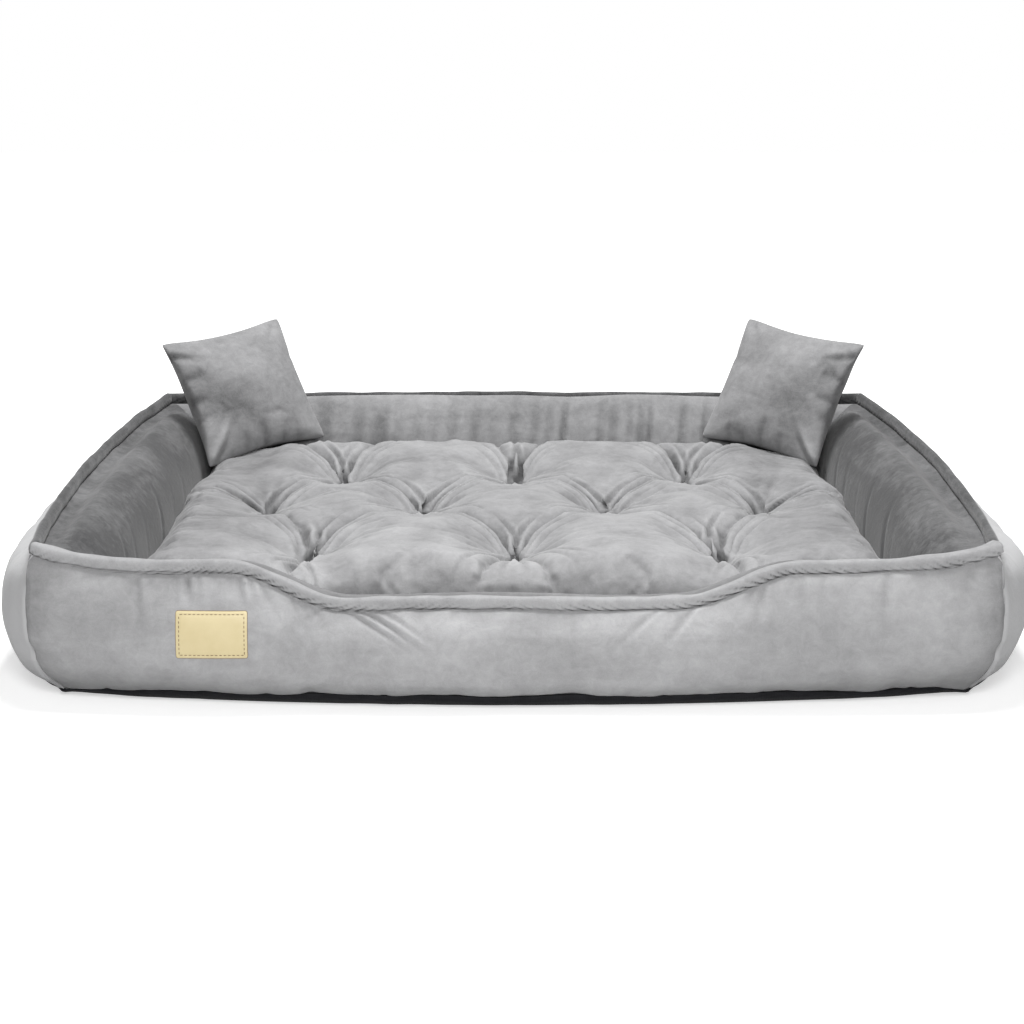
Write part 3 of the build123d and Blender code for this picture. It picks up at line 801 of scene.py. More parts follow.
    def placed(self, run: Array, section: Array) -> Array:
        """Sections stood up along the run, leaning into the mitres at the corners.

        A point lies its offset outward of the corner line, and along the wall at its share of
        the run plus its offset times the lean, so that the last section lies in the mitre.

        Args:
            run: Shares along the run.
            section: Offsets and heights, shaped (runs, points, 2).

        Returns:
            Points in millimetres, shaped (runs, points, 3).
        """
        size = eased_through(np.array(self.shares), np.array(self.leans), np.abs(run))
        lean = np.sign(run) * size
        outward, along = np.array(self.side.value[1]), np.array(self.side.value[2])
        offset, height = section[..., 0], section[..., 1]
        line = run[:, None] * self.half_run + lean[:, None] * offset
        flat = outward * (self.corner_line + offset)[..., None] + along * line[..., None]
        return np.concatenate([flat, height[..., None]], axis=-1)

    def gathers(self, line: Array, seed: int, spacing: float, width: float) -> Array:
        """Irregular narrow folds across a seam: a row of bell curves at random places."""
        chance = np.random.default_rng(seed)
        count = int(2 * self.half_run / spacing)
        shift = chance.uniform(-0.45, 0.45, count) * spacing
        places = np.linspace(-self.half_run, self.half_run, count) + shift
        depth = chance.uniform(0.15, 1.0, count) ** 1.5
        widths = width * chance.uniform(0.6, 1.5, count)
        total = np.zeros_like(line)
        for place, deep, wide in zip(places, depth, widths):
            total += deep * bell((line - place) / wide)
        return total

    def slope_share(self, line: Array) -> Array:
        """1 where the front rim climbs out of its dip, 0 elsewhere."""
        if self.side is not Side.FRONT:
            return np.zeros_like(line)
        middle = (self.dip_half + self.dip_end) / 2
        return bell((np.abs(line) - middle) / 75.0)

    def spread_over(self, run: Array, down: Array, cloth: float) -> tuple[Array, Array, Array]:
        """Millimetres along the wall and down its cloth, and a share that fades at the mitres."""
        line = run[:, None] * self.half_run * np.ones_like(down)[None]
        drop = down[None] * cloth * np.ones_like(line)
        return line, drop, 1 - np.clip(np.abs(run)[:, None], 0, 1) ** 12

    def outer_relief(self, run: Array, down: Array) -> Array:
        """Relief of the outer cloth in millimetres, out of the surface.

        It is broad stuffing lumps, gathers that hang from the rim seam and rise from the foot
        seam, slanting pulls under the climbs of the rim, a shoulder below the rim, the wall's
        own pleats, short puckers and a groove at the corner seams, and a draw of the whole rim
        seam. Folds and pleats start a little below the rim, so that no gap opens there.
        """
        line, drop, calm = self.spread_over(run, down, self.outer_cloth)
        rim_hold = 1 - np.exp(-drop / 4.0)
        below_rim = ease((drop - 8.0) / 30.0)
        from_corner = self.half_run * (1 - np.abs(run))[:, None]
        relief = 1.6 * ripple(line, drop, 190.0, self.seed + 10) * calm
        relief += 0.7 * ripple(line, drop * 0.6, 60.0, self.seed + 11) * calm
        slope = self.slope_share(line)
        slanted = line + np.sign(line) * drop * 0.5 * slope
        short = self.gathers(slanted, self.seed + 12, 30.0, 4.5)
        relief -= (2.4 + 1.5 * slope) * short * np.exp(-drop / 24.0) * (1 - np.exp(-drop / 3.0))
        hanging = self.gathers(line + 0.3 * drop, self.seed + 13, 120.0, 6.0)
        relief -= 3.0 * hanging * np.exp(-drop / 50.0) * rim_hold
        rising = self.gathers(line, self.seed + 14, 34.0, 6.0)
        relief -= 1.8 * rising * np.exp(-(self.outer_cloth - drop) / 20.0)
        puckers = np.maximum(0, ripple(drop, drop * 0, 20.0, 15, 6))
        relief -= 2.6 * np.exp(-from_corner / 26.0) * puckers * below_rim
        relief += self.shoulder * bell((drop - 30.0) / 19.0) * ease(from_corner / 60.0)
        for place, deep, reach, slant in self.pleats:
            beside = (line - place - slant * drop) / (3.6 + 0.03 * drop)
            fold = bell(beside) - 0.4 * bell(beside - 1.9)
            relief -= deep * fold * bell(drop / reach) * rim_hold
        relief -= 3.2 * bell(from_corner / 5.0) * below_rim
        return relief - 2.2 * bell(drop / 3.5)

    def inner_relief(self, run: Array, down: Array) -> Array:
        """Relief of the inner cloth in millimetres, out of the surface.

        The back wall carries soft upright gathers, the others a few slanting wrinkles.
        """
        line, drop, calm = self.spread_over(run, down, self.inner_cloth)
        relief = 1.0 * ripple(line, drop, 190.0, self.seed + 20) * calm
        if self.side is Side.BACK:
            upright = self.gathers(line + 0.12 * drop, self.seed + 21, 21.0, 5.5)
            relief -= 6.5 * upright * ease((drop - 32.0) / 55.0) * calm
        else:
            top_fall = np.exp(-np.abs(drop - 12.0) / 26.0)
            relief -= 0.25 * self.gathers(line, self.seed + 21, 40.0, 6.0) * top_fall * calm
            slanted = self.gathers(line * 0.86 + drop * 0.9, self.seed + 22, 62.0, 5.0)
            relief -= 2.4 * slanted * calm * bell((drop - 120.0) / 42.0)
        return relief * ease(drop / 14.0)

    def outer_grid(self, run: Array, down: Array) -> Array:
        """The outer cloth without its relief."""
        return self.placed(run, curve_through(self.outer_points(run), down))

    def zip_channel(self, points: Array) -> Array:
        """Depth of the sunk band that the zip lies in, by place."""
        if self.side in (Side.FRONT, Side.BACK):
            return np.zeros(points.shape[:2])
        half_length, half_width, depth = self.zip_band
        across = ease((half_width - np.abs(points[..., 2] - self.hip_height)) / 1.6)
        along = ease((half_length - np.abs(points[..., 1])) / 2.0)
        return depth * across * along

    def quiet_patch(self, points: Array) -> Array:
        """1 where the cloth lies flat under the label or beside the zip, 0 away from them."""
        if self.side is Side.BACK:
            return np.zeros(points.shape[:2])
        front = self.side is Side.FRONT
        middle, height, half_long, half_high = self.label_patch if front else self.zip_patch
        over = np.maximum(np.abs(points[..., 0 if front else 1] - middle) - half_long,
                          np.abs(points[..., 2] - height) - half_high)
        return 1 - ease(over / 10.0)

    def outer_shares(self) -> Array:
        """Shares down the outer cloth, closer together at the rim and round the zip."""
        even = np.concatenate([np.linspace(0, 0.06, 7), np.linspace(0.06, 1, 48)])
        hip = 0.72
        if self.side in (Side.LEFT, Side.RIGHT):
            even = np.concatenate([even, np.linspace(hip - 0.09, hip + 0.09, 22)])
        return np.unique(even)

    def bolster(self) -> bpy.types.Object:
        """The whole stuffed wall as one closed form."""
        run = self.run_shares(2.9)
        down, up = self.outer_shares(), np.linspace(1, 0, 56)
        outer = self.outer_grid(run, down)
        relief = self.outer_relief(run, down) * (1 - self.quiet_patch(outer))
        relief -= self.zip_channel(outer)
        normal = normals_of(outer) * self.outward_sign(outer)
        outer = outer + normal * relief[..., None]
        # Painted shade: the outer cloth is painted darker in its folds and a little lighter on its swells, and
        # the front wall darker beside its corner seams.
        outer_painted_shading = self.outer_painted_shading + 0.03 * np.clip(relief, -6.0, 3.0)
        if self.side is Side.FRONT:
            outer_painted_shading -= 0.22 * np.exp(-self.half_run * (1 - np.abs(run)) / 30.0)[:, None]
        inner = self.placed(run, curve_through(self.inner_points(run), up))
        normal = -normals_of(inner) * self.outward_sign(inner)
        relief = self.inner_relief(run, up)
        inner = inner + normal * relief[..., None]
        inner[..., 2] = np.maximum(inner[..., 2], self.floor_top)
        # Painted shade: the inner cloth is painted darker towards the floor, and darker in its wrinkles.
        inner_painted_shading = self.inner_painted_shading * (0.7 + 0.45 * ease(up / 0.8)[None])
        inner_painted_shading = inner_painted_shading + 0.03 * np.clip(relief, -6.0, 3.0)
        under = np.linspace(0, 1, 6)[1:-1]
        sole = blend(outer[:, -1:], inner[:, :1], under[None, :, None])
        loop = np.concatenate([outer, sole, inner], axis=1)
        piece = tube(f"{self.name}_bolster", loop, sharp=55.0)
        paint_shading(piece, np.concatenate([outer_painted_shading, np.zeros(sole.shape[:2]), inner_painted_shading], axis=1))
        return piece

    def outward_sign(self, points: Array) -> float:
        """1 or -1, whichever turns the grid's normals to the side that the wall faces."""
        middle = normals_of(points)[len(points) // 2, points.shape[1] // 2, :2]
        return float(np.sign(middle @ np.array(self.side.value[1])))

    def welt(self) -> bpy.types.Object:
        """The stuffed fold along the rim, with slanting puckers from its stitching.

        Its section is a rounded upright oval. The puckers are the size of a sine of the
        distance along the rim plus the height, so that ridges are round and valleys sharp;
        they are low on level stretches and turn into a rope where the rim climbs.
        """
        run = self.run_shares(1.5)
        rim, height = self.rim_line(run)
        angle = np.linspace(0, TURN, 32, endpoint=False)
        across = np.sign(np.cos(angle)) * np.abs(np.cos(angle)) ** 0.75
        up = np.sign(np.sin(angle)) * np.abs(np.sin(angle)) ** 0.85
        line = run[:, None] * self.half_run
        slope = self.slope_share(line)
        uneven = ripple(line, up[None] * 8.0, 60.0, self.seed + 30, 8)
        drift = 5.0 * ripple(line, line * 0, 70.0, self.seed + 31, 5)
        turn = (line + np.sign(line + 1e-6) * up[None] * 17.0 + drift) / blend(12.5, 13.5, slope)
        rope = np.abs(np.sin(np.pi * turn)) ** 0.6 - 0.75
        chance = 0.7 + 0.6 * ripple(line, line * 0, 45.0, self.seed + 32, 6)
        low = ease((0.5 - up[None]) / 0.9)
        puckers = rope * low * blend(2.4 * np.clip(chance, 0.25, 1.2), 4.6, slope)
        stitched = -2.2 * bell((up[None] + 0.72) / 0.14) * ease((across[None] - 0.1) / 0.2)
        if self.side is not Side.FRONT:
            uneven, puckers = 0.5 * uneven, 0.45 * puckers
        swell = 1.1 * uneven + puckers + stitched
        half = self.welt_width / 2 + 0.4 + swell
        tall = self.welt_height / 2 + 0.7 + 0.5 * swell
        offset = rim[:, None] - self.welt_width / 2 + across[None] * half
        level = height[:, None] + self.welt_height / 2 - 1.6 + up[None] * tall
        piece = tube(f"{self.name}_welt", self.placed(run, np.stack([offset, level], axis=-1)))
        # Painted shade: the welt's inner side is painted darker than its outer side, and its pucker valleys
        # and stitched line darker still.
        outer, inner = self.welt_painted_shading
        nap = blend(inner, outer, ease((across[None] - 0.1) / 0.8))
        paint_shading(piece, nap + 0.24 * np.minimum(puckers, 0) + 0.14 * stitched)
        return piece

    def build(self, dresser: Dresser) -> None:
        """Make the wall and its welt and dress them."""
        nodes = [f"{self.name}_outer_panel", f"{self.name}_inner_panel", f"{self.name}_filling"]
        if self.side in (Side.LEFT, Side.RIGHT):
            nodes.append(f"{self.name}_lower_band")
        dresser.dress(self.bolster(), Finish.VELVET, "shell", tuple(nodes))
        dresser.dress(self.welt(), Finish.VELVET, "shell", (f"{self.name}_rim_welt",))


def wall_set() -> dict[Side, Wall]:
    """The four walls with their own sizes, and the painted light and shade on each cloth."""
    long_side = {"half_run": 515.0, "corner_line": 440.0, "face": 100.0, "bowed_foot": True}
    short_side = {
        "half_run": 440.0, "corner_line": 515.0, "face": 79.0, "bowed_foot": False,
        "rim_bow": 24.0, "bulge": 57.5, "hip": 50.6, "foot": 25.0, "bulge_share": 0.71,
        "shoulder": 5.5, "outer_painted_shading": 0.62,
        "shares": (0.0, 0.42, 0.735, 0.83, 0.9, 0.955, 1.0),
        "leans": (0.0, 0.0, 0.0, 0.35, 0.7, 0.87, 1.0),
        "fullness": (1.0, 1.0, 0.99, 0.73, 0.44, 0.18, 0.0),
    }
    front_pleats = (
        (-347.0, 4.5, 34.0, 0.06), (-337.0, 2.6, 26.0, 0.05), (-292.0, 4.2, 40.0, 0.12),
        (-280.0, 3.0, 30.0, 0.12), (-402.0, 2.0, 60.0, 0.1), (-236.0, 1.8, 60.0, 0.3),
        (-176.0, 3.4, 62.0, 0.9), (-158.0, 3.8, 70.0, 0.85), (-140.0, 2.2, 50.0, 0.8),
        (-205.0, 1.8, 60.0, -0.6), (150.0, 2.6, 60.0, -0.7), (188.0, 3.0, 60.0, -0.5),
        (262.0, 2.8, 60.0, -0.15), (301.0, 1.8, 70.0, 0.1), (395.0, 2.0, 60.0, -0.1),
    )
    return {
        Side.FRONT: Wall(
            Side.FRONT, rim_bow=15.0, bulge=34.0, hip=33.0, foot=26.0, bulge_share=0.66,
            foot_lift=5.0, crest_lift=1.012, pleats=front_pleats, seed=100,
            outer_painted_shading=0.25, inner_painted_shading=-0.3, welt_painted_shading=(0.24, 0.1),
            shares=(0.0, 0.592, 0.776, 0.898, 1.0), leans=(0.0, 0.0, 0.0, 0.7, 1.0),
            fullness=(1.0, 1.0, 0.85, 0.55, 0.0), **long_side),
        Side.BACK: Wall(
            Side.BACK, rim_bow=10.0, bulge=35.0, hip=32.0, foot=18.0, bulge_share=0.565,
            crest_lift=1.1, seed=200, inner_painted_shading=-0.1, welt_painted_shading=(0.1, -0.42),
            shares=(0.0, 0.4, 0.75, 0.91, 1.0), leans=(0.0, 0.0, 0.0, 0.7, 1.0),
            fullness=(1.0, 1.0, 0.95, 0.6, 0.0), **long_side),
        Side.LEFT: Wall(Side.LEFT, seed=300, **short_side),
        Side.RIGHT: Wall(Side.RIGHT, seed=400, **short_side),
    }


# Underside

@dataclass
class Underside:
    """The black non-slip cloth below the bed and the lining inside it."""

    walls: dict[Side, Wall]
    cloth_turn: float = 22.0
    foot_height: float = 12.0
    floor_inset: float = 4.0
    lining: float = 1.5

    def outline(self, inset: float) -> Array:
        """Foot line of the four walls, set in, as a ring of points."""
        parts = []
        for side, way in ((Side.FRONT, 1), (Side.RIGHT, 1), (Side.BACK, -1), (Side.LEFT, -1)):
            wall = self.walls[side]
            run = np.linspace(-1, 1, 91)[::way][:-1]
            section = wall.outer_points(run)[:, -1:].copy()
            section[..., 0] -= inset
            parts.append(wall.placed(run, section)[:, 0])
        return np.concatenate(parts)

    def dish(self, name: str, rings: list[tuple[float, float]], levels: tuple[float, float],
             dimple: float) -> bpy.types.Object:
        """A closed flat form from rings of the foot line.

        Args:
            name: The piece's name.
            rings: Insets and heights of the rings, from the upper side round to the lower.
            levels: Heights of the middle of the upper and lower sides.
            dimple: How uneven the cloth is.

        Returns:
            The piece.
        """
        loops = []
        for inset, height in rings:
            loop = self.outline(inset)
            loop[:, 2] *= height / self.foot_height
            loops.append(loop)
        inward = [0.75, 0.5, 0.25, 0.02]
        upper = [loops[0] * [share, share, 0] + [0, 0, levels[0]] for share in inward[::-1]]
        lower = [loops[-1] * [share, share, 0] + [0, 0, levels[1]] for share in inward]
        loop = np.stack(upper + loops + lower)
        uneven = np.maximum(0, ripple(loop[..., 0], loop[..., 1], 55.0, 71))
        loop[..., 2] += dimple * uneven * (loop[..., 2] > 1.0)
        return tube(name, loop, sharp=50.0)

    def build(self, dresser: Dresser) -> None:
        """Make the underside and dress it."""
        turn = self.cloth_turn
        rings = [(3.0, 11.6), (1.2, 11.4), (0.8, 9.6), (3.5, 6.4), (turn * 0.45, 3.4),
                 (turn * 0.75, 1.1), (turn, 0.0)]
        cloth = self.dish("base_cloth", rings, (10.5, 0.0), 0.5)
        dresser.dress(cloth, Finish.NONSLIP, "shell", ("base_fabric", "base_wadding"))
        inset, low = self.floor_inset, self.foot_height
        rings = [(inset + 1, low + self.lining), (inset, low + self.lining / 2), (inset + 1, low)]
        lining = self.dish("floor_lining", rings, (low + self.lining, low), 0.0)
        dresser.dress(lining, Finish.LINING, "shell", ("floor_panel",))


# Zips

@dataclass
class Zip:
    """One closed zip: two tapes, two rows of coil and their stops; its slider stays a solid."""

    wall: Wall
    half_length: float = 320.0
    line: float = 567.0
    height: float = 45.0
    tilt: float = 18.0
    opening: float = 14.0
    tuck: float = 0.4
    teeth_half: float = 2.35
    thickness: float = 0.9
    pitch: float = 2.0

    def axes(self) -> tuple[Array, Array, Array, Array]:
        """Middle of the tapes, and the directions along the zip, up across it and out of it."""
        way = self.wall.side.value[1][0]
        tilt = np.radians(self.tilt)
        out = np.array([way * np.cos(tilt), 0.0, -np.sin(tilt)])
        along = np.array([0.0, 1.0, 0.0])
        across = np.array([way * np.sin(tilt), 0.0, np.cos(tilt)])
        middle = np.array([way * self.line, 0.0, self.height]) - out
        return middle, along, across, out

    def strip(self, name: str, low: float, high: float) -> bpy.types.Object:
        """A flat strip beside the teeth, between two distances from the middle."""
        middle, along, across, out = self.axes()
        run = np.linspace(-self.half_length, self.half_length, 161)[:, None, None]
        wide = np.linspace(low, high, 5)[None, :, None]
        wave = 0.12 * ripple(run[..., 0], wide[..., 0], 24.0, self.wall.seed + 50)[..., None]
        flat = middle + along * run + across * wide
        half = self.thickness / 2
        return shell_between(name, flat + out * (half + wave), flat - out * (half - wave), 40.0)

    def coil(self) -> bpy.types.Object:
        """The teeth: pegs across the middle, every other one reaching from the other side."""
        middle, along, across, out = self.axes()
        count = int(2 * (self.half_length - 5.0) / (self.pitch / 2))
        place = (np.arange(count) - (count - 1) / 2) * self.pitch / 2
        side = np.where(np.arange(count) % 2 == 0, 1.0, -1.0)
        places = middle + along * place[:, None] + across * (side * 1.05)[:, None]
        points, faces = repeated(*peg(2.9, 1.15, 2.5), places, across, along, out)
        ends = middle + along * (np.array([-1, 1]) * (self.half_length - 2.2))[:, None]
        more, more_faces = repeated(*peg(6.2, 3.8, 2.6, 8), ends, across, along, out)
        return make_piece(f"{self.wall.name}_zip_coil", np.concatenate([points, more]),
                          np.concatenate([faces, more_faces + len(points)]), sharp=50.0)

    def build(self, dresser: Dresser) -> None:
        """Make the zip and dress it."""
        name = self.wall.name
        far = self.opening / 2 + self.tuck
        for part, low, high in (("upper", self.teeth_half, far), ("lower", -far, -self.teeth_half)):
            tape = self.strip(f"{name}_zip_tape_{part}", low, high)
            dresser.dress(tape, Finish.TAPE, "shell", (f"{name}_zip_tapes",))
        dresser.dress(self.coil(), Finish.TEETH, "shell", (f"{name}_zip_teeth",))
        dresser.recolour(f"{name}_zip_slider", Finish.METAL)
        dresser.recolour(f"{name}_zip_pull", Finish.METAL)


# Label

@dataclass
class Label:
    """The bare leatherette label sewn on the front wall."""

    wall: Wall
    width: float = 76.0
    height: float = 50.0
    middle_x: float = -319.5
    middle_z: float = 88.0
    rounding: float = 2.5
    thickness: float = 1.3
    stitch_inset: float = 3.6
    stitch_pitch: float = 4.6
    stitch_length: float = 2.9

    def on_wall(self, x: Array, z: Array, lift: float) -> Array:
        """Points of the front wall's cloth at given places, lifted off it.

        The outer profile is worked out at every place along the run, and its depth is read at
        the wanted height.
        """
        run = np.unique(x)
        table = self.wall.outer_grid(run / self.wall.half_run, np.linspace(0, 1, 240))
        column = np.searchsorted(run, x)
        gap = np.abs(table[column][..., 2] - z[..., None])
        nearest = np.argmin(gap, axis=-1)
        found = np.take_along_axis(table[column], nearest[..., None, None], axis=-2)[..., 0, :]
        slope = np.gradient(table[..., 1], axis=1) / np.gradient(table[..., 2], axis=1)
        lean = np.take_along_axis(slope[column], nearest[..., None], axis=-1)[..., 0]
        depth = found[..., 1] + lean * (z - found[..., 2])
        return np.stack([x, depth - lift, z], axis=-1)

    def rounded(self, u: Array, v: Array, inset: float) -> tuple[Array, Array]:
        """A square of parameters from -1 to 1, mapped to the label's rounded rectangle."""
        half_w, half_h = self.width / 2 - inset, self.height / 2 - inset
        x, z = u * half_w, v * half_h
        corner = max(self.rounding - inset, 0.1)
        over_x, over_z = np.abs(x) - (half_w - corner), np.abs(z) - (half_h - corner)
        reach = np.hypot(np.maximum(over_x, 0), np.maximum(over_z, 0))
        outside = (over_x > 0) & (over_z > 0) & (reach > corner)
        pull = np.where(outside, corner / np.maximum(reach, 1e-6), 1.0)
        x = np.where(over_x > 0, np.sign(x) * ((half_w - corner) + over_x * pull), x)
        z = np.where(over_z > 0, np.sign(z) * ((half_h - corner) + over_z * pull), z)
        return x + self.middle_x, z + self.middle_z

    def build(self, dresser: Dresser) -> None:
        """Make the backing, the face and the stitches and dress them."""
        u, v = np.meshgrid(np.linspace(-1, 1, 65), np.linspace(-1, 1, 45), indexing="ij")
        x, z = self.rounded(u, v, 0.0)
        under, edge = self.on_wall(x, z, -0.6), self.on_wall(x, z, self.thickness * 0.55)
        backing = shell_between("label_backing", edge, under, 40.0)
        dresser.dress(backing, Finish.LABEL_EDGE, "shell", ("label_patch",))
        rim = np.maximum(np.abs(u), np.abs(v))
        dome = self.thickness * (1 - 0.35 * ease((rim - 0.94) / 0.06))
        groove = self.groove(x, z)
        x, z = self.rounded(u, v, 0.45)
        face = self.on_wall(x, z, 0.0)
        face[..., 1] -= dome - groove
        low = self.on_wall(x, z, self.thickness * 0.4)
        front = shell_between("label_face", face, low, 40.0)
        dresser.dress(front, Finish.LABEL, "shell", ("label_patch",))
        dresser.dress(self.stitches(), Finish.STITCH, "shell")

    def groove(self, x: Array, z: Array) -> Array:
        """Depth pressed in by the stitching, a soft furrow a little inside the edge."""
        from_edge = np.minimum(self.width / 2 - np.abs(x - self.middle_x),
                               self.height / 2 - np.abs(z - self.middle_z))
        return 0.3 * bell((from_edge - self.stitch_inset) / 0.9)

    def stitches(self) -> bpy.types.Object:
        """A row of short stitches round the label, laid in the furrow."""
        half_w, half_h = self.width / 2 - self.stitch_inset, self.height / 2 - self.stitch_inset
        across = np.arange(-half_w + self.stitch_pitch / 2, half_w, self.stitch_pitch)
        upright = np.arange(-half_h + self.stitch_pitch / 2, half_h, self.stitch_pitch)
        ends = [np.full_like(upright, half) for half in (-half_w, half_w)]
        edges = [np.full_like(across, half) for half in (half_h, -half_h)]
        x = np.concatenate([across, across, *ends])
        z = np.concatenate([*edges, upright, upright])
        level = np.concatenate([np.ones(2 * len(across)), np.zeros(2 * len(upright))])[:, None]
        places = self.on_wall(x + self.middle_x, z + self.middle_z, self.thickness - 0.15)
        along = level * np.array([1.0, 0, 0]) + (1 - level) * np.array([0, 0, 1.0])
        side = level * np.array([0, 0, 1.0]) + (1 - level) * np.array([-1.0, 0, 0])
        out = np.array([0.0, -1.0, 0.0])
        stitch = peg(self.stitch_length, 0.85, 0.75)
        return make_piece("label_stitches", *repeated(*stitch, places, along, side, out))


# Mattress

@dataclass
class Crease:
    """Every point's place beside one crease, which leaves each tuft steeply and bends between them.

    away is the distance from the crease, along the distance down it from the nearer tuft, side
    the distance to the side of that tuft's fan, past the distance past the crease's end,
    from_tuft the distance from that tuft, in_fan is 1 on the fan's side and 0 on the other, and
    fade is what is left of the crease where it runs out towards the edge.
    """

    away: Array
    along: Array
    side: Array
    past: Array
    from_tuft: Array
    in_fan: Array
    fade: Array

    @classmethod
    def beside(cls, x: Array, y: Array, start: Array, end: Array, between: bool,
               bow: float) -> Crease:
        """Measure points beside a crease.

        The crease's sideways offset is a sine of the share of its length.

        Args:
            x: First coordinates.
            y: Second coordinates.
            start: The crease's first tuft.
            end: Its second tuft, or its end at the mattress's edge.
            between: Whether it runs from tuft to tuft.
            bow: How far it bends to each side.

        Returns:
            The places.
        """
        run = end - start
        length = np.hypot(*run)
        ahead_x, ahead_y = run / length
        fan = np.sign(ahead_x * ahead_y) if abs(ahead_y) > 0.3 else 0.0
        place = ((x - start[0]) * ahead_x + (y - start[1]) * ahead_y) / length
        share = np.clip(place, 0, 1)
        off = (y - start[1]) * ahead_x - (x - start[0]) * ahead_y
        bend = np.sin(TURN * share) if between else 0.6 * np.sin(TURN * np.minimum(share, 0.5))
        side = (off - fan * bow * bend) * (fan or 1.0)
        past = np.abs(place - share) * length
        away = np.hypot(side, past)
        first = (share < 0.5) | (not between)
        along = share * length if not between else np.minimum(share, 1 - share) * length
        side = np.where(first, side, -side)
        from_tuft = np.where(first, np.hypot(x - start[0], y - start[1]),
                             np.hypot(x - end[0], y - end[1]))
        in_fan = ease((side + 4.0) / 8.0) * abs(fan)
        to_back = 0.55 if ahead_y > 0.3 else 1.0
        fade = np.ones_like(share) if between else (1 - 0.55 * share) * to_back
        return cls(away, along, side, past, from_tuft, in_fan, fade)

    def pleats(self, seed: int) -> Array:
        """Relief of the sharp folds that run beside the crease and draw together at the tuft."""
        chance = np.random.default_rng(seed)
        total = np.zeros_like(self.away)
        near = ease((self.from_tuft - 4.0) / 14.0) * bell(self.past / 5.0)
        for offset, depth, width, length in ((14.0, 9.0, 3.0, 125.0), (-14.0, 6.0, 2.8, 130.0),
                                             (-27.0, 3.4, 3.2, 115.0)):
            middle = offset * chance.uniform(0.85, 1.15) * (0.35 + self.along / 75.0)
            reach = length * chance.uniform(0.8, 1.2)
            fade = np.clip(1 - (self.along / reach) ** 1.6, 0, 1) * near
            beside = (self.side - middle) / width
            ridges = 0.45 * np.exp(-((np.abs(beside) - 1.9) ** 2) / 1.2)
            total += depth * chance.uniform(0.75, 1.15) * fade * (ridges - bell(beside))
        return total


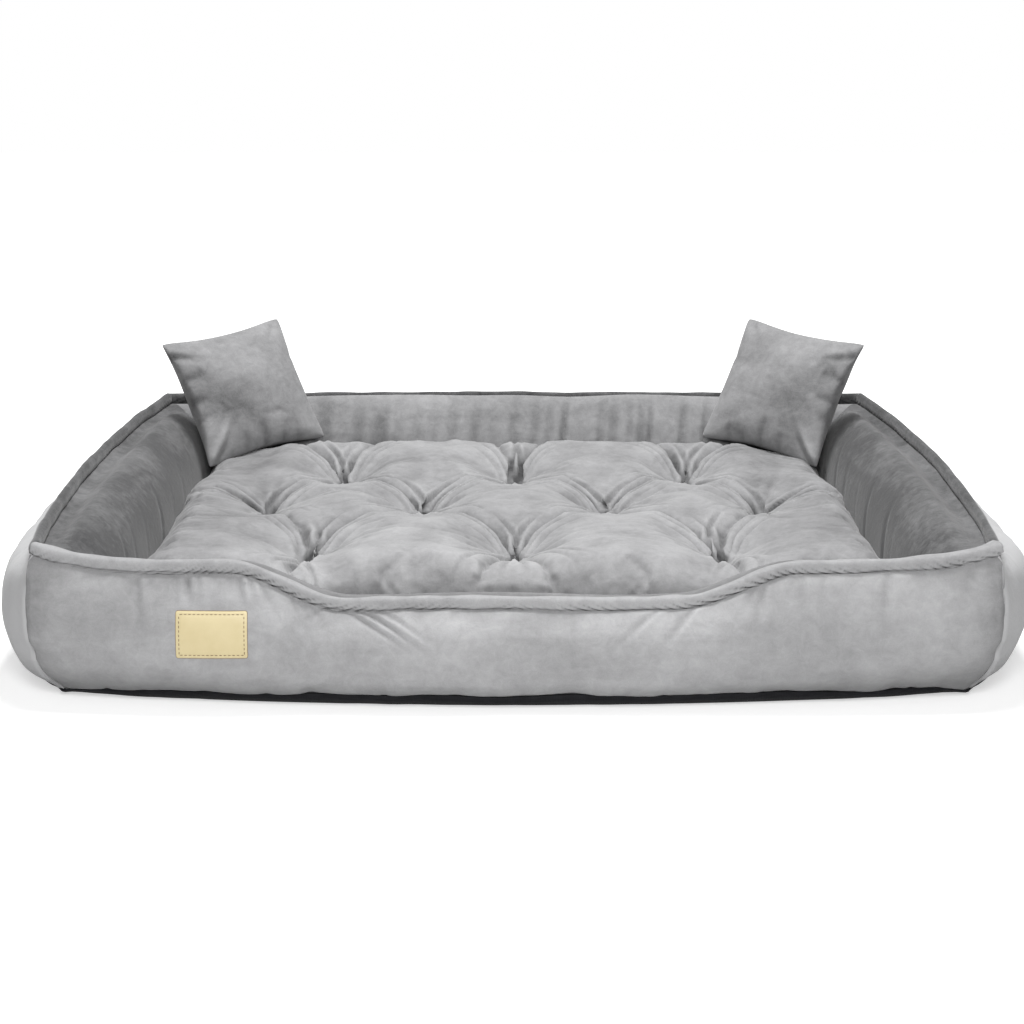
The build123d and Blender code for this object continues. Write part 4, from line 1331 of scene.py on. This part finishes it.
@dataclass
class Mattress:
    """The loose tufted mattress.

    dome_reach holds how far a tuft draws the broad form down to the sides, to the front and
    back, and behind the rear row. pairs and neighbours join tufts by number; outward gives a
    tuft's number and the place at the edge that its crease runs to.
    """

    half_width: float = 433.0
    half_depth: float = 335.0
    bottom: float = 13.8
    seam: float = 60.0
    crest: float = 128.5
    back_crest: float = 134.5
    tie_height: float = 71.0
    saddle_depth: float = 11.5
    tuft_depth: float = 9.0
    crease_reach: float = 85.0
    crease_bow: float = 11.0
    shoulder: float = 20.0
    fan_shoulder: float = 24.0
    dome_drop: float = 36.0
    corner_drop: float = 12.0
    dome_reach: tuple = (105.0, 195.0, 105.0)
    edge_run: float = 50.0
    spacing: float = 2.8
    coarse_spacing: float = 7.5
    under_skip: int = 4
    tufts: tuple = ((-233.0, 185.0), (0.0, 185.0), (233.0, 185.0), (-315.0, 20.0), (-118.0, 20.0),
                    (118.0, 20.0), (315.0, 20.0), (-244.0, -200.0), (0.0, -200.0), (244.0, -200.0))
    pairs: tuple = ((0, 3), (0, 4), (1, 4), (1, 5), (2, 5), (2, 6), (7, 3), (7, 4), (8, 4), (8, 5),
                    (9, 5), (9, 6))
    outward: tuple = ((0, -172.0, 365.0), (0, -345.0, 365.0), (1, -40.0, 365.0), (1, 66.0, 365.0),
                      (2, 172.0, 365.0), (2, 345.0, 365.0), (7, -268.0, -365.0), (8, -56.0, -365.0),
                      (8, 56.0, -365.0), (9, 268.0, -365.0), (3, -392.0, 44.0), (6, 392.0, 44.0))
    neighbours: tuple = ((0, 1), (1, 2), (3, 4), (4, 5), (5, 6), (7, 8), (8, 9))
    seed: int = 500

    def creases(self) -> tuple[Array, Array, Array]:
        """Starts and ends of the creases, and which of them run from tuft to tuft."""
        tufts, pairs, outward = np.array(self.tufts), np.array(self.pairs), np.array(self.outward)
        starts = np.concatenate([tufts[pairs[:, 0]], tufts[outward[:, 0].astype(int)]])
        ends = np.concatenate([tufts[pairs[:, 1]], outward[:, 1:]])
        return starts, ends, np.arange(len(starts)) < len(pairs)

    def spread_out(self, half: float, spacing: float) -> Array:
        """Places from edge to edge at even steps over the crown and down the rounded edge."""
        arc = np.pi / 2 * (self.edge_run + self.crest - self.seam) / 2
        flat = half - self.edge_run
        count = int(2 * (flat + arc) / spacing / self.under_skip) * self.under_skip + 1
        reach = np.linspace(-(flat + arc), flat + arc, count)
        over = np.clip(np.abs(reach) - flat, 0, arc) / arc * np.pi / 2
        return np.sign(reach) * (np.minimum(np.abs(reach), flat) + self.edge_run * np.sin(over))

    def edge_fall(self, x: Array, y: Array) -> Array:
        """1 over the crown, falling to 0 at the seam round the edge as a quarter of an ellipse."""
        over_x = np.clip((np.abs(x) - (self.half_width - self.edge_run)) / self.edge_run, 0, 1)
        over_y = np.clip((np.abs(y) - (self.half_depth - self.edge_run)) / self.edge_run, 0, 1)
        return np.clip(1 - over_x**3.2, 0, 1) ** 0.45 * np.sqrt(np.clip(1 - over_y**2.4, 0, 1))

    def from_tufts(self, x: Array, y: Array) -> tuple[Array, Array]:
        """Distances to the right of every tuft and behind it, shaped (tufts, ...)."""
        tufts = np.array(self.tufts)[..., None, None]
        return x[None] - tufts[:, 0], y[None] - tufts[:, 1]

    def crease_frames(self, x: Array, y: Array) -> list[Crease]:
        """Every point's place beside every crease."""
        starts, ends, inner = self.creases()
        return [Crease.beside(x, y, start, end, bool(between), self.crease_bow)
                for start, end, between in zip(starts, ends, inner)]

    def puffs(self, x: Array, y: Array, creases: list[Crease]) -> Array:
        """Height of the puffs between the tufts and creases.

        The broad form sinks towards each tuft by a power of what is left of an elliptic
        radius. Each crease cuts a narrow valley into it, whose sides climb as quarters of
        ellipses; it is deep at the tuft and shallow half way. The deepest valley is taken.
        """
        at_back = ease((y - 120.0) / 110.0) * ease((345.0 - np.abs(x)) / 60.0)
        crest = blend(self.crest, self.back_crest, at_back)
        reach_x, reach_y, reach_behind = self.dome_reach
        reach_y = blend(reach_y, reach_behind, ease((y - 180.0) / 40.0))
        right, behind = self.from_tufts(x, y)
        left = 1 - np.hypot(right / reach_x, behind / reach_y)
        sunk = self.dome_drop * np.clip(left.max(axis=0), 0, 1) ** 1.55
        valley = np.zeros_like(x)
        for crease in creases:
            depth = self.saddle_depth + self.tuft_depth * bell(crease.along / self.crease_reach)
            narrow = blend(0.35, 1.0, ease(crease.along / 55.0))
            width = blend(self.shoulder, self.fan_shoulder, crease.in_fan) * narrow
            part = np.clip(crease.away / width, 0, 1)
            valley = np.maximum(valley, depth * crease.fade * (1 - np.sqrt(2 * part - part**2)))
        corner = self.corner_drop * ease((np.abs(x) - 300.0) / 95.0) * ease((y - 60.0) / 180.0)
        return crest - corner - sunk - valley

    def fan_pleats(self, x: Array, y: Array) -> Array:
        """Soft pleats that spread from each tuft forward and back, between its creases."""
        chance = np.random.default_rng(self.seed)
        total = np.zeros_like(x)
        for right, behind in zip(*self.from_tufts(x, y)):
            away = np.hypot(right, behind)
            for forward in (1.0, -1.0):
                angle = np.arctan2(right, forward * behind)
                for place in (-0.16, 0.02, 0.19):
                    middle = place + chance.uniform(-0.05, 0.05)
                    middle = middle + chance.uniform(-0.12, 0.12) * away / 100.0
                    beside = (angle - middle) * away / (2.4 + 0.04 * away)
                    left = np.clip(1 - (away / chance.uniform(85, 135)) ** 1.3, 0, 1)
                    fade = ease((away - 12.0) / 24.0) * left
                    total -= chance.uniform(2.4, 5.0) * fade * bell(beside)
        return total

    def tension_lines(self, x: Array, y: Array) -> Array:
        """Long faint folds straight from tuft to tuft in a row, deeper near each tuft."""
        chance = np.random.default_rng(self.seed + 9)
        tufts = np.array(self.tufts)
        total = np.zeros_like(x)
        for first, second in self.neighbours:
            (x0, y0), (x1, _) = tufts[first], tufts[second]
            share = np.clip((x - x0) / (x1 - x0), 0, 1)
            inside = ease((x - x0) / 14.0) * ease((x1 - x) / 14.0)
            middle = 4 * share * (1 - share)
            near = np.exp(-np.minimum(share, 1 - share) * abs(x1 - x0) / 45.0)
            bows = chance.uniform(4, 14), chance.uniform(-16, -6), chance.uniform(20, 30)
            for bow, depth in zip(bows, (1.3, 0.8, 0.7)):
                line = y0 + bow * middle**0.8 + 2.0 * ripple(x, x * 0, 120.0, int(100 + bow * 7), 5)
                beside = (y - line) / (3.0 + 2.5 * middle)
                total -= depth * (0.5 + 2.6 * near) * inside * bell(beside)
        return total

    def wrinkles(self, x: Array, y: Array, creases: list[Crease]) -> Array:
        """Relief of the pleats at the tufts, the long faint folds and the seam's short gathers."""
        total = self.fan_pleats(x, y) + self.tension_lines(x, y)
        for number, crease in enumerate(creases):
            total += crease.pleats(self.seed + 20 + number)
        total = np.where(total < 0, 9.0 * np.tanh(total / 9.0), 3.5 * np.tanh(total / 3.5))
        side = ease((np.abs(x) - (self.half_width - 105.0)) / 60.0)
        end = ease((np.abs(y) - (self.half_depth - 85.0)) / 60.0)
        slanted = ripple(y + 0.35 * np.abs(x), x * 0.12, 24.0, self.seed + 2, 9)
        total += 1.1 * side * np.maximum(0, slanted)
        total += 1.3 * end * np.maximum(0, ripple(x, y * 0.1, 30.0, self.seed + 3, 9))
        return total + 0.9 * ripple(x, y, 60.0, self.seed + 4)

    def rounded(self, x: Array, y: Array, height: Array) -> Array:
        """Points of the top, its height falling to the seam round the edge.

        The last part of each side draws in a little towards the corners.
        """
        z = self.seam + (height - self.seam) * self.edge_fall(x, y)
        tuck_x = 1 - 0.05 * ease((np.abs(y) / self.half_depth - 0.84) / 0.16)
        tuck_y = 1 - 0.03 * ease((np.abs(x) / self.half_width - 0.88) / 0.12)
        return np.stack([x * tuck_x, y * tuck_y, z], axis=-1)

    def plan(self, spacing: float) -> tuple[Array, Array]:
        """Places over the plan, about a spacing apart."""
        halves = self.half_width, self.half_depth
        return np.meshgrid(*(self.spread_out(half, spacing) for half in halves), indexing="ij")

    def coarse_sheet(self) -> tuple[bpy.types.Object, Array, Array]:
        """A coarse sheet to settle, its points, and which of them are held at tufts and seam."""
        x, y = self.plan(self.coarse_spacing)
        points = self.rounded(x, y, self.puffs(x, y, self.crease_frames(x, y)))
        near = np.min(np.hypot(*self.from_tufts(x, y)), axis=0)
        held = (near < 9.0).astype(float)
        held[[0, -1], :] = held[:, [0, -1]] = 1.0
        sheet = make_piece("mattress_sheet", points.reshape(-1, 3), grid_quads(*x.shape))
        if sheet.data.polygons[len(sheet.data.polygons) // 2].normal.z < 0:
            sheet.data.flip_normals()
        return sheet, points, held

    def top(self, settled: Array | None) -> tuple[Array, Array]:
        """The fine top: puffs, the coarse sheet's settling, and the wrinkles.

        Args:
            settled: How far each point of the coarse sheet moved, or nothing.

        Returns:
            Points in millimetres, and the painted light and shade of the top.
        """
        x, y = self.plan(self.spacing)
        creases = self.crease_frames(x, y)
        puffs = self.puffs(x, y, creases)
        points = self.rounded(x, y, puffs)
        if settled is not None:
            points = points + resampled(settled, *x.shape)
        normal = normals_of(points)
        normal *= np.sign(normal[len(x) // 2, len(x[0]) // 2, 2])
        fall = ease(self.edge_fall(x, y) * 2.5)[..., None]
        relief = self.wrinkles(x, y, creases)
        points = points + normal * relief[..., None] * fall
        # Painted shade in the folds and where the top sinks low round the tufts, painted light along the
        # front, painted shade towards the sides and the back, and dark painted lines along each crease near
        # its tuft.
        nap = 0.045 * np.clip(relief, -8.0, 2.0) - 0.16 * ease((104.0 - puffs) / 26.0)
        nap += 0.07 * ease((-y - 230.0) / 70.0) - 0.14 * ease((np.abs(x) - 230.0) / 130.0)
        nap -= 0.03 * ease((y + 40.0) / 120.0)
        for crease in creases:
            nap -= 0.4 * np.exp(-((crease.away / 3.6) ** 2) - (crease.along / 100.0) ** 2)
        return points, nap

    def under_grid(self) -> Array:
        """The underside: flat over the same plan, and rounded up to the seam round its edge."""
        x, y = self.plan(self.spacing)
        return self.rounded(x, y, np.full_like(x, self.bottom))

    def ties(self) -> bpy.types.Object:
        """Short crossed threads at the bottom of each pit."""
        tufts = np.array(self.tufts)
        places = np.column_stack([tufts, np.full(len(tufts), self.tie_height)])
        turn = np.repeat([0.7, -0.7], len(tufts))
        cos, sin, level = np.cos(turn), np.sin(turn), np.zeros_like(turn)
        along, side = np.stack([cos, sin, level], axis=1), np.stack([-sin, cos, level], axis=1)
        thread = peg(9.0, 1.6, 1.4)
        out = np.array([0.0, 0.0, 1.0])
        crossed = np.concatenate([places, places])
        return make_piece("mattress_ties", *repeated(*thread, crossed, along, side, out))


# Cloth settling

@dataclass
class Settling:
    """One piece of cloth that is blown up a little and settles into its wrinkles.

    rest holds the points of the flat cloth as cut, in metres, where it differs from the start.
    """

    piece: bpy.types.Object
    held: Array
    pressure: float
    slack: float
    cap: float
    rest: Array | None = None
    stiffness: float = 12.0
    bending: float = 0.3

    def start(self) -> Array:
        """Add the cloth, and keep where the points start."""
        mesh = self.piece.data
        begin = np.empty(len(mesh.vertices) * 3)
        mesh.vertices.foreach_get("co", begin)
        if self.rest is not None:
            self.piece.shape_key_add(name="placed")
            key = self.piece.shape_key_add(name="cut")
            key.data.foreach_set("co", self.rest.reshape(-1))
        group = self.piece.vertex_groups.new(name="held")
        group.add(np.flatnonzero(self.held.reshape(-1) > 0.5).tolist(), 1.0, "REPLACE")
        cloth = self.piece.modifiers.new("cloth", "CLOTH")
        settings = cloth.settings
        settings.quality = 6
        settings.mass = 0.2
        settings.tension_stiffness = settings.compression_stiffness = self.stiffness
        settings.shear_stiffness = self.stiffness * 0.4
        settings.bending_stiffness = self.bending
        settings.air_damping = 2.0
        settings.use_pressure = True
        settings.uniform_pressure_force = self.pressure
        settings.shrink_min = -self.slack
        if self.rest is not None:
            settings.rest_shape_key = key
        settings.vertex_group_mass = "held"
        settings.effector_weights.gravity = 0.0
        cloth.collision_settings.use_collision = False
        return begin.reshape(-1, 3)

    def finish(self, begin: Array) -> Array:
        """Take the settled shape, no point having moved further than the cap.

        Args:
            begin: Where the points started, in metres.

        Returns:
            Where they end, in metres.
        """
        graph = bpy.context.evaluated_depsgraph_get()
        settled = self.piece.evaluated_get(graph).to_mesh()
        end = np.empty(len(settled.vertices) * 3)
        settled.vertices.foreach_get("co", end)
        move = end.reshape(-1, 3) - begin
        length = np.linalg.norm(move, axis=1, keepdims=True)
        share = np.minimum(1.0, self.cap * MM / np.maximum(length, 1e-9))
        self.piece.modifiers.clear()
        self.piece.vertex_groups.clear()
        if self.rest is not None:
            self.piece.shape_key_clear()
        return begin + move * share


def settle(jobs: list[Settling], frames: int = 20) -> list[Array]:
    """Let several pieces settle together.

    Args:
        jobs: The pieces and how each is blown up.
        frames: How many frames they take.

    Returns:
        The settled points of each, in metres.
    """
    starts = [job.start() for job in jobs]
    scene = bpy.context.scene
    for number in range(1, frames + 1):
        scene.frame_set(number)
    ends = [job.finish(start) for job, start in zip(jobs, starts)]
    scene.frame_set(1)
    return ends


# Pillows

@dataclass
class Pillow:
    """One small loose pillow leaning in a back corner.

    Places on it go from -1 to 1 across and up. Each dent has its place, size and depth, and
    each fold its two ends, depth and width; a fold of negative depth is a ridge.
    """

    way: int
    half: float = 98.5
    crown: float = 40.0
    middle: tuple = (384.8, 325.5, 204.0)
    yaw: float = 31.6
    lean: float = 29.8
    roll: float = 8.1
    steps: int = 61
    slack: float = 1.06
    seam_turn: float = 24.0
    edge_bow: float = 0.1
    pressure: float = 4.0
    cap: float = 8.0
    dents: tuple = ((-0.45, -0.32, 0.3, 7.0), (-0.05, -0.66, 0.16, 4.0), (0.4, -0.7, 0.12, 3.0),
                    (-0.68, 0.35, 0.14, 4.0))
    folds: tuple = (
        ((-0.97, 0.72), (-0.38, 0.5), 5.5, 0.06), ((-0.98, 0.3), (-0.6, 0.34), 4.0, 0.06),
        ((-0.98, -0.05), (-0.62, 0.0), 4.0, 0.07), ((-0.98, -0.35), (-0.66, -0.25), 3.0, 0.06),
        ((-0.3, -0.98), (-0.34, -0.6), 3.5, 0.05), ((0.0, -0.98), (-0.05, -0.45), 4.0, 0.05),
        ((0.3, -0.98), (0.24, -0.7), 3.5, 0.05), ((0.52, -0.98), (0.5, -0.62), 4.0, 0.05),
        ((-0.9, -0.9), (-0.34, -0.22), -5.5, 0.06), ((0.98, 0.35), (0.75, 0.3), 3.0, 0.06),
    )
    seed: int = 600

    @property
    def name(self) -> str:
        """The pillow's name."""
        return "left_pillow" if self.way < 0 else "right_pillow"

    def axes(self) -> tuple[Array, Array, Array, Array]:
        """Middle, and the directions across, up and out of the front."""
        yaw, lean, roll = np.radians([self.yaw, self.lean, self.roll])
        across = np.array([np.cos(yaw), np.sin(yaw), 0.0])
        toward = np.array([np.sin(yaw), -np.cos(yaw), 0.0])
        rise = np.array([0.0, 0.0, 1.0])
        up = rise * np.cos(lean) - toward * np.sin(lean)
        out = toward * np.cos(lean) + rise * np.sin(lean)
        turned = across * np.cos(roll) + up * np.sin(roll)
        upright = up * np.cos(roll) - across * np.sin(roll)
        middle = np.array([-self.middle[0], self.middle[1], self.middle[2]])
        mirror = np.array([-1.0, 1.0, 1.0]) if self.way > 0 else np.ones(3)
        return middle * mirror, turned * mirror, upright * mirror, out * mirror

    def flat(self) -> tuple[Array, Array, Array]:
        """Across, up and half thickness of the pillow before it settles.

        The edges bow in between the corners by a tenth at their middles, the corners are a
        little blunt, and the thickness is about the root of the two distances from the edges.
        """
        line = np.linspace(-1, 1, self.steps)
        u, v = np.meshgrid(line, line, indexing="ij")
        x = u * (1 - self.edge_bow * (1 - v**2) * np.abs(u) ** 1.5)
        y = v * (1 - self.edge_bow * (1 - u**2) * np.abs(v) ** 1.5)
        thick = ((1 - u**2) * (1 - v**2)) ** 0.55
        blunt = 1 - 0.05 * np.abs(u * v) ** 9
        return x * blunt * self.half, y * blunt * self.half, thick * self.crown

    def front_marks(self, u: Array, v: Array) -> tuple[Array, Array]:
        """Depth of the dents and folds in the front cloth, and the painted shade that darkens them."""
        deep, dark = np.zeros_like(u), np.zeros_like(u)
        for place_u, place_v, size, most in self.dents:
            dent = most * np.exp(-(((u - place_u) / size) ** 2) - ((v - place_v) / size / 1.3) ** 2)
            deep += dent
            # Painted shade in the dents, and along the folds but not the ridges.
            dark += 0.012 * dent
        for start, end, most, wide in self.folds:
            away, share = beside_line(u, v, start, end)
            fold = most * (1 - share) ** 0.7 * bell(away / wide)
            deep += fold
            dark += 0.03 * np.maximum(fold, 0)
        return deep, dark

    def grids(self) -> tuple[Array, Array, Array]:
        """Front and back cloth in place, and the front's painted light and shade, with dents and creased
        corners.
        """
        x, y, thick = self.flat()
        middle, across, up, out = self.axes()
        u, v = x / self.half, y / self.half
        corner = np.minimum(np.abs(u), np.abs(v))
        diagonal = 3.0 * bell((u - v * 0.9 - 0.02) / 0.06) * ease((corner - 0.45) / 0.3)
        forward = self.seam_turn * np.clip(-u, 0, 1) ** 5 * np.clip(1 - v**2, 0, 1) ** 0.7
        deep, dark = self.front_marks(u, v)
        sheets = []
        for face, seed, marks in ((1, self.seed + 5, deep), (-1, self.seed + 6, 0.0)):
            relief = 1.6 * ripple(x, y, 70.0, seed) * np.clip(thick / 20, 0, 1) - diagonal - marks
            # Painted shading of the front: darker in the folds and dents, a little darker overall, and lighter
            # towards the lower edge.
            if face > 0:
                nap = 0.02 * np.clip(relief, -5, 3) - 0.06 + 0.16 * ease((-0.1 - v) / 0.8) - dark
            lift = face * (thick + relief * ease(thick / 6.0)) + forward
            flat = middle + across * x[..., None] + up * y[..., None]
            sheets.append(flat + out * lift[..., None])
        return sheets[0], sheets[1], nap

    def job(self, piece: bpy.types.Object) -> Settling:
        """The cloth as cut: two flat squares a little larger than the pillow, sewn at the edge."""
        line = np.linspace(-1, 1, self.steps) * self.half * self.slack * MM
        u, v = np.meshgrid(line, line, indexing="ij")
        cut = np.stack([u, v, np.zeros_like(u)], axis=-1)
        rest = np.concatenate([cut.reshape(-1, 3), cut[1:-1, 1:-1].reshape(-1, 3)])
        count = self.steps**2
        held = np.zeros(len(rest))
        held[[0, self.steps - 1, count - self.steps, count - 1]] = 1.0
        return Settling(piece, held, self.pressure, 0.0, self.cap, rest)


# Studio

@dataclass
class Studio:
    """Pale floor, soft lamps and the camera.

    glow_reach holds the distances between which the floor's glow grows to the full. Each lamp
    has its name, place, turn, size and power.
    """

    lens: float = 71.5
    sensor: float = 36.0
    pitch: float = 13.55
    place: tuple = (-3.4, -2524.0, 715.0)
    floor_half: float = 9.0
    floor_level: float = -0.0004
    floor_tone: float = 0.6
    near_glow: float = 0.55
    glow_reach: tuple = (0.75, 1.6)
    world_light: float = 0.16
    lamps: tuple = (("overhead", (0.0, 0.2, 2.4), (0.0, 0.0, 0.0), (0.8, 1.2), 98.0),
                    ("front", (0.0, -2.6, 1.5), (62.0, 0.0, 0.0), (0.8, 1.0), 62.0))

    def camera(self) -> None:
        """Stand the camera where the photograph was taken from."""
        data = bpy.data.cameras.new("camera")
        data.lens = self.lens
        data.sensor_width = self.sensor
        data.sensor_fit = "HORIZONTAL"
        data.clip_end = 100.0
        camera = in_scene("camera", data)
        camera.location = np.array(self.place) * MM
        camera.rotation_euler = (np.radians(90 - self.pitch), 0.0, 0.0)
        bpy.context.scene.camera = camera

    def show(self, tree: bpy.types.NodeTree, lit: bpy.types.Node, seen: bpy.types.Node,
             output: str) -> None:
        """Join two shaders to an output.

        Args:
            tree: The node tree.
            lit: The shader that lights the bed.
            seen: The shader for rays from the camera, and for mirrored and bent ones.
            output: Name of the output node.
        """
        light = add_node(tree, "ShaderNodeLightPath").outputs
        share = light["Is Camera Ray"]
        for name in ("Is Glossy Ray", "Is Transmission Ray"):
            pair = {0: share, 1: light[name]}
            share = add_node(tree, "ShaderNodeMath", pair, operation="MAXIMUM").outputs[0]
        given = {0: share, 1: lit.outputs[0], 2: seen.outputs[0]}
        mix = add_node(tree, "ShaderNodeMixShader", given)
        feed(tree, tree.nodes[output], {"Surface": mix.outputs[0]})

    def world(self) -> None:
        """A white world to the eye that lights the bed only softly."""
        world = bpy.data.worlds.new("studio")
        world.use_nodes = True
        bpy.context.scene.world = world
        tree = world.node_tree
        white = (1.0, 1.0, 1.0, 1.0)
        seen = tree.nodes["Background"]
        feed(tree, seen, {"Color": white, "Strength": 1.0})
        lit = add_node(tree, "ShaderNodeBackground", {"Color": white, "Strength": self.world_light})
        self.show(tree, lit, seen, "World Output")

    def floor(self) -> None:
        """A pale floor that shows white to the eye but keeps the bed's shadow."""
        corners = [(self.floor_half * x, self.floor_half * y, self.floor_level)
                   for x, y in ((-1, -1), (1, -1), (1, 1), (-1, 1))]
        mesh = bpy.data.meshes.new("floor")
        mesh.from_pydata(corners, [], [(0, 1, 2, 3)])
        floor = in_scene("floor", mesh)
        material = bpy.data.materials.new("floor")
        material.use_nodes = True
        tree = material.node_tree
        tree.nodes.remove(tree.nodes["Principled BSDF"])
        diffuse = add_node(tree, "ShaderNodeBsdfDiffuse", {"Color": (*[self.floor_tone] * 3, 1.0)})
        glow = add_node(tree, "ShaderNodeEmission", {"Strength": self.far_glow(tree)})
        both = add_node(tree, "ShaderNodeAddShader", {0: diffuse.outputs[0], 1: glow.outputs[0]})
        self.show(tree, diffuse, both, "Material Output")
        mesh.materials.append(material)

    def far_glow(self, tree: bpy.types.NodeTree) -> bpy.types.NodeSocket:
        """Glow of the floor: slight round the bed, and full farther off, where no shadow falls."""
        place = add_node(tree, "ShaderNodeNewGeometry").outputs["Position"]
        length = add_node(tree, "ShaderNodeVectorMath", {0: place}, operation="LENGTH")
        near, far = self.glow_reach
        given = {"Value": length.outputs["Value"], "From Min": near, "From Max": far,
                 "To Min": self.near_glow, "To Max": 1.0}
        spread = add_node(tree, "ShaderNodeMapRange", given, interpolation_type="SMOOTHSTEP")
        return spread.outputs[0]

    def lamp(self, name: str, place: tuple, turn: tuple, size: tuple, power: float) -> None:
        """A soft rectangular lamp."""
        data = bpy.data.lights.new(name, "AREA")
        data.shape = "RECTANGLE"
        data.size, data.size_y = size
        data.energy = power
        lamp = in_scene(name, data)
        lamp.location = place
        lamp.rotation_euler = np.radians(turn)

    def build(self) -> None:
        """Set up the whole studio."""
        self.camera()
        self.world()
        self.floor()
        for lamp in self.lamps:
            self.lamp(*lamp)
        bpy.context.scene.view_settings.view_transform = "Standard"


def build_soft(dresser: Dresser) -> None:
    """Make the mattress and the pillows, let the cloth settle, and dress them."""
    mattress = Mattress()
    settled = None
    sheet, start, held = mattress.coarse_sheet()
    (end,) = settle([Settling(sheet, held, pressure=3.0, slack=0.03, cap=6.0)])
    settled = end.reshape(start.shape) / MM - start
    bpy.data.objects.remove(sheet)
    top, nap = mattress.top(settled)
    cushion = sewn("mattress_cushion", top, mattress.under_grid(), nap, mattress.under_skip)
    nodes = ("mattress_top_panel", "mattress_bottom_panel", "mattress_filling")
    dresser.dress(cushion, Finish.VELVET, "mattress", nodes)
    dresser.dress(mattress.ties(), Finish.THREAD, "mattress", ("mattress_tuft_ties",))
    pillows = [Pillow(-1), Pillow(1, middle=(381.3, 325.5, 204.0), seed=650)]
    pieces = [sewn(pillow.name, *pillow.grids()) for pillow in pillows]
    jobs = [pillow.job(piece) for pillow, piece in zip(pillows, pieces)]
    for piece, end in zip(pieces, settle(jobs)):
        piece.data.vertices.foreach_set("co", end.reshape(-1))
        piece.data.update()
    for pillow, piece in zip(pillows, pieces):
        finer = piece.modifiers.new("finer", "SUBSURF")
        finer.levels = finer.render_levels = 1
        nodes = tuple(f"{pillow.name}_{part}" for part in ("front_panel", "back_panel", "filling"))
        dresser.dress(piece, Finish.VELVET, pillow.name, nodes)


def main() -> None:
    """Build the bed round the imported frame."""
    logging.basicConfig(level=logging.INFO, format="%(name)s %(message)s")
    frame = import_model()
    Studio().build()
    dresser = Dresser(frame)
    walls = wall_set()
    for wall in walls.values():
        wall.build(dresser)
    Underside(walls).build(dresser)
    for side in (Side.LEFT, Side.RIGHT):
        Zip(walls[side]).build(dresser)
    Label(walls[Side.FRONT]).build(dresser)
    build_soft(dresser)


if __name__ == "__main__":
    main()
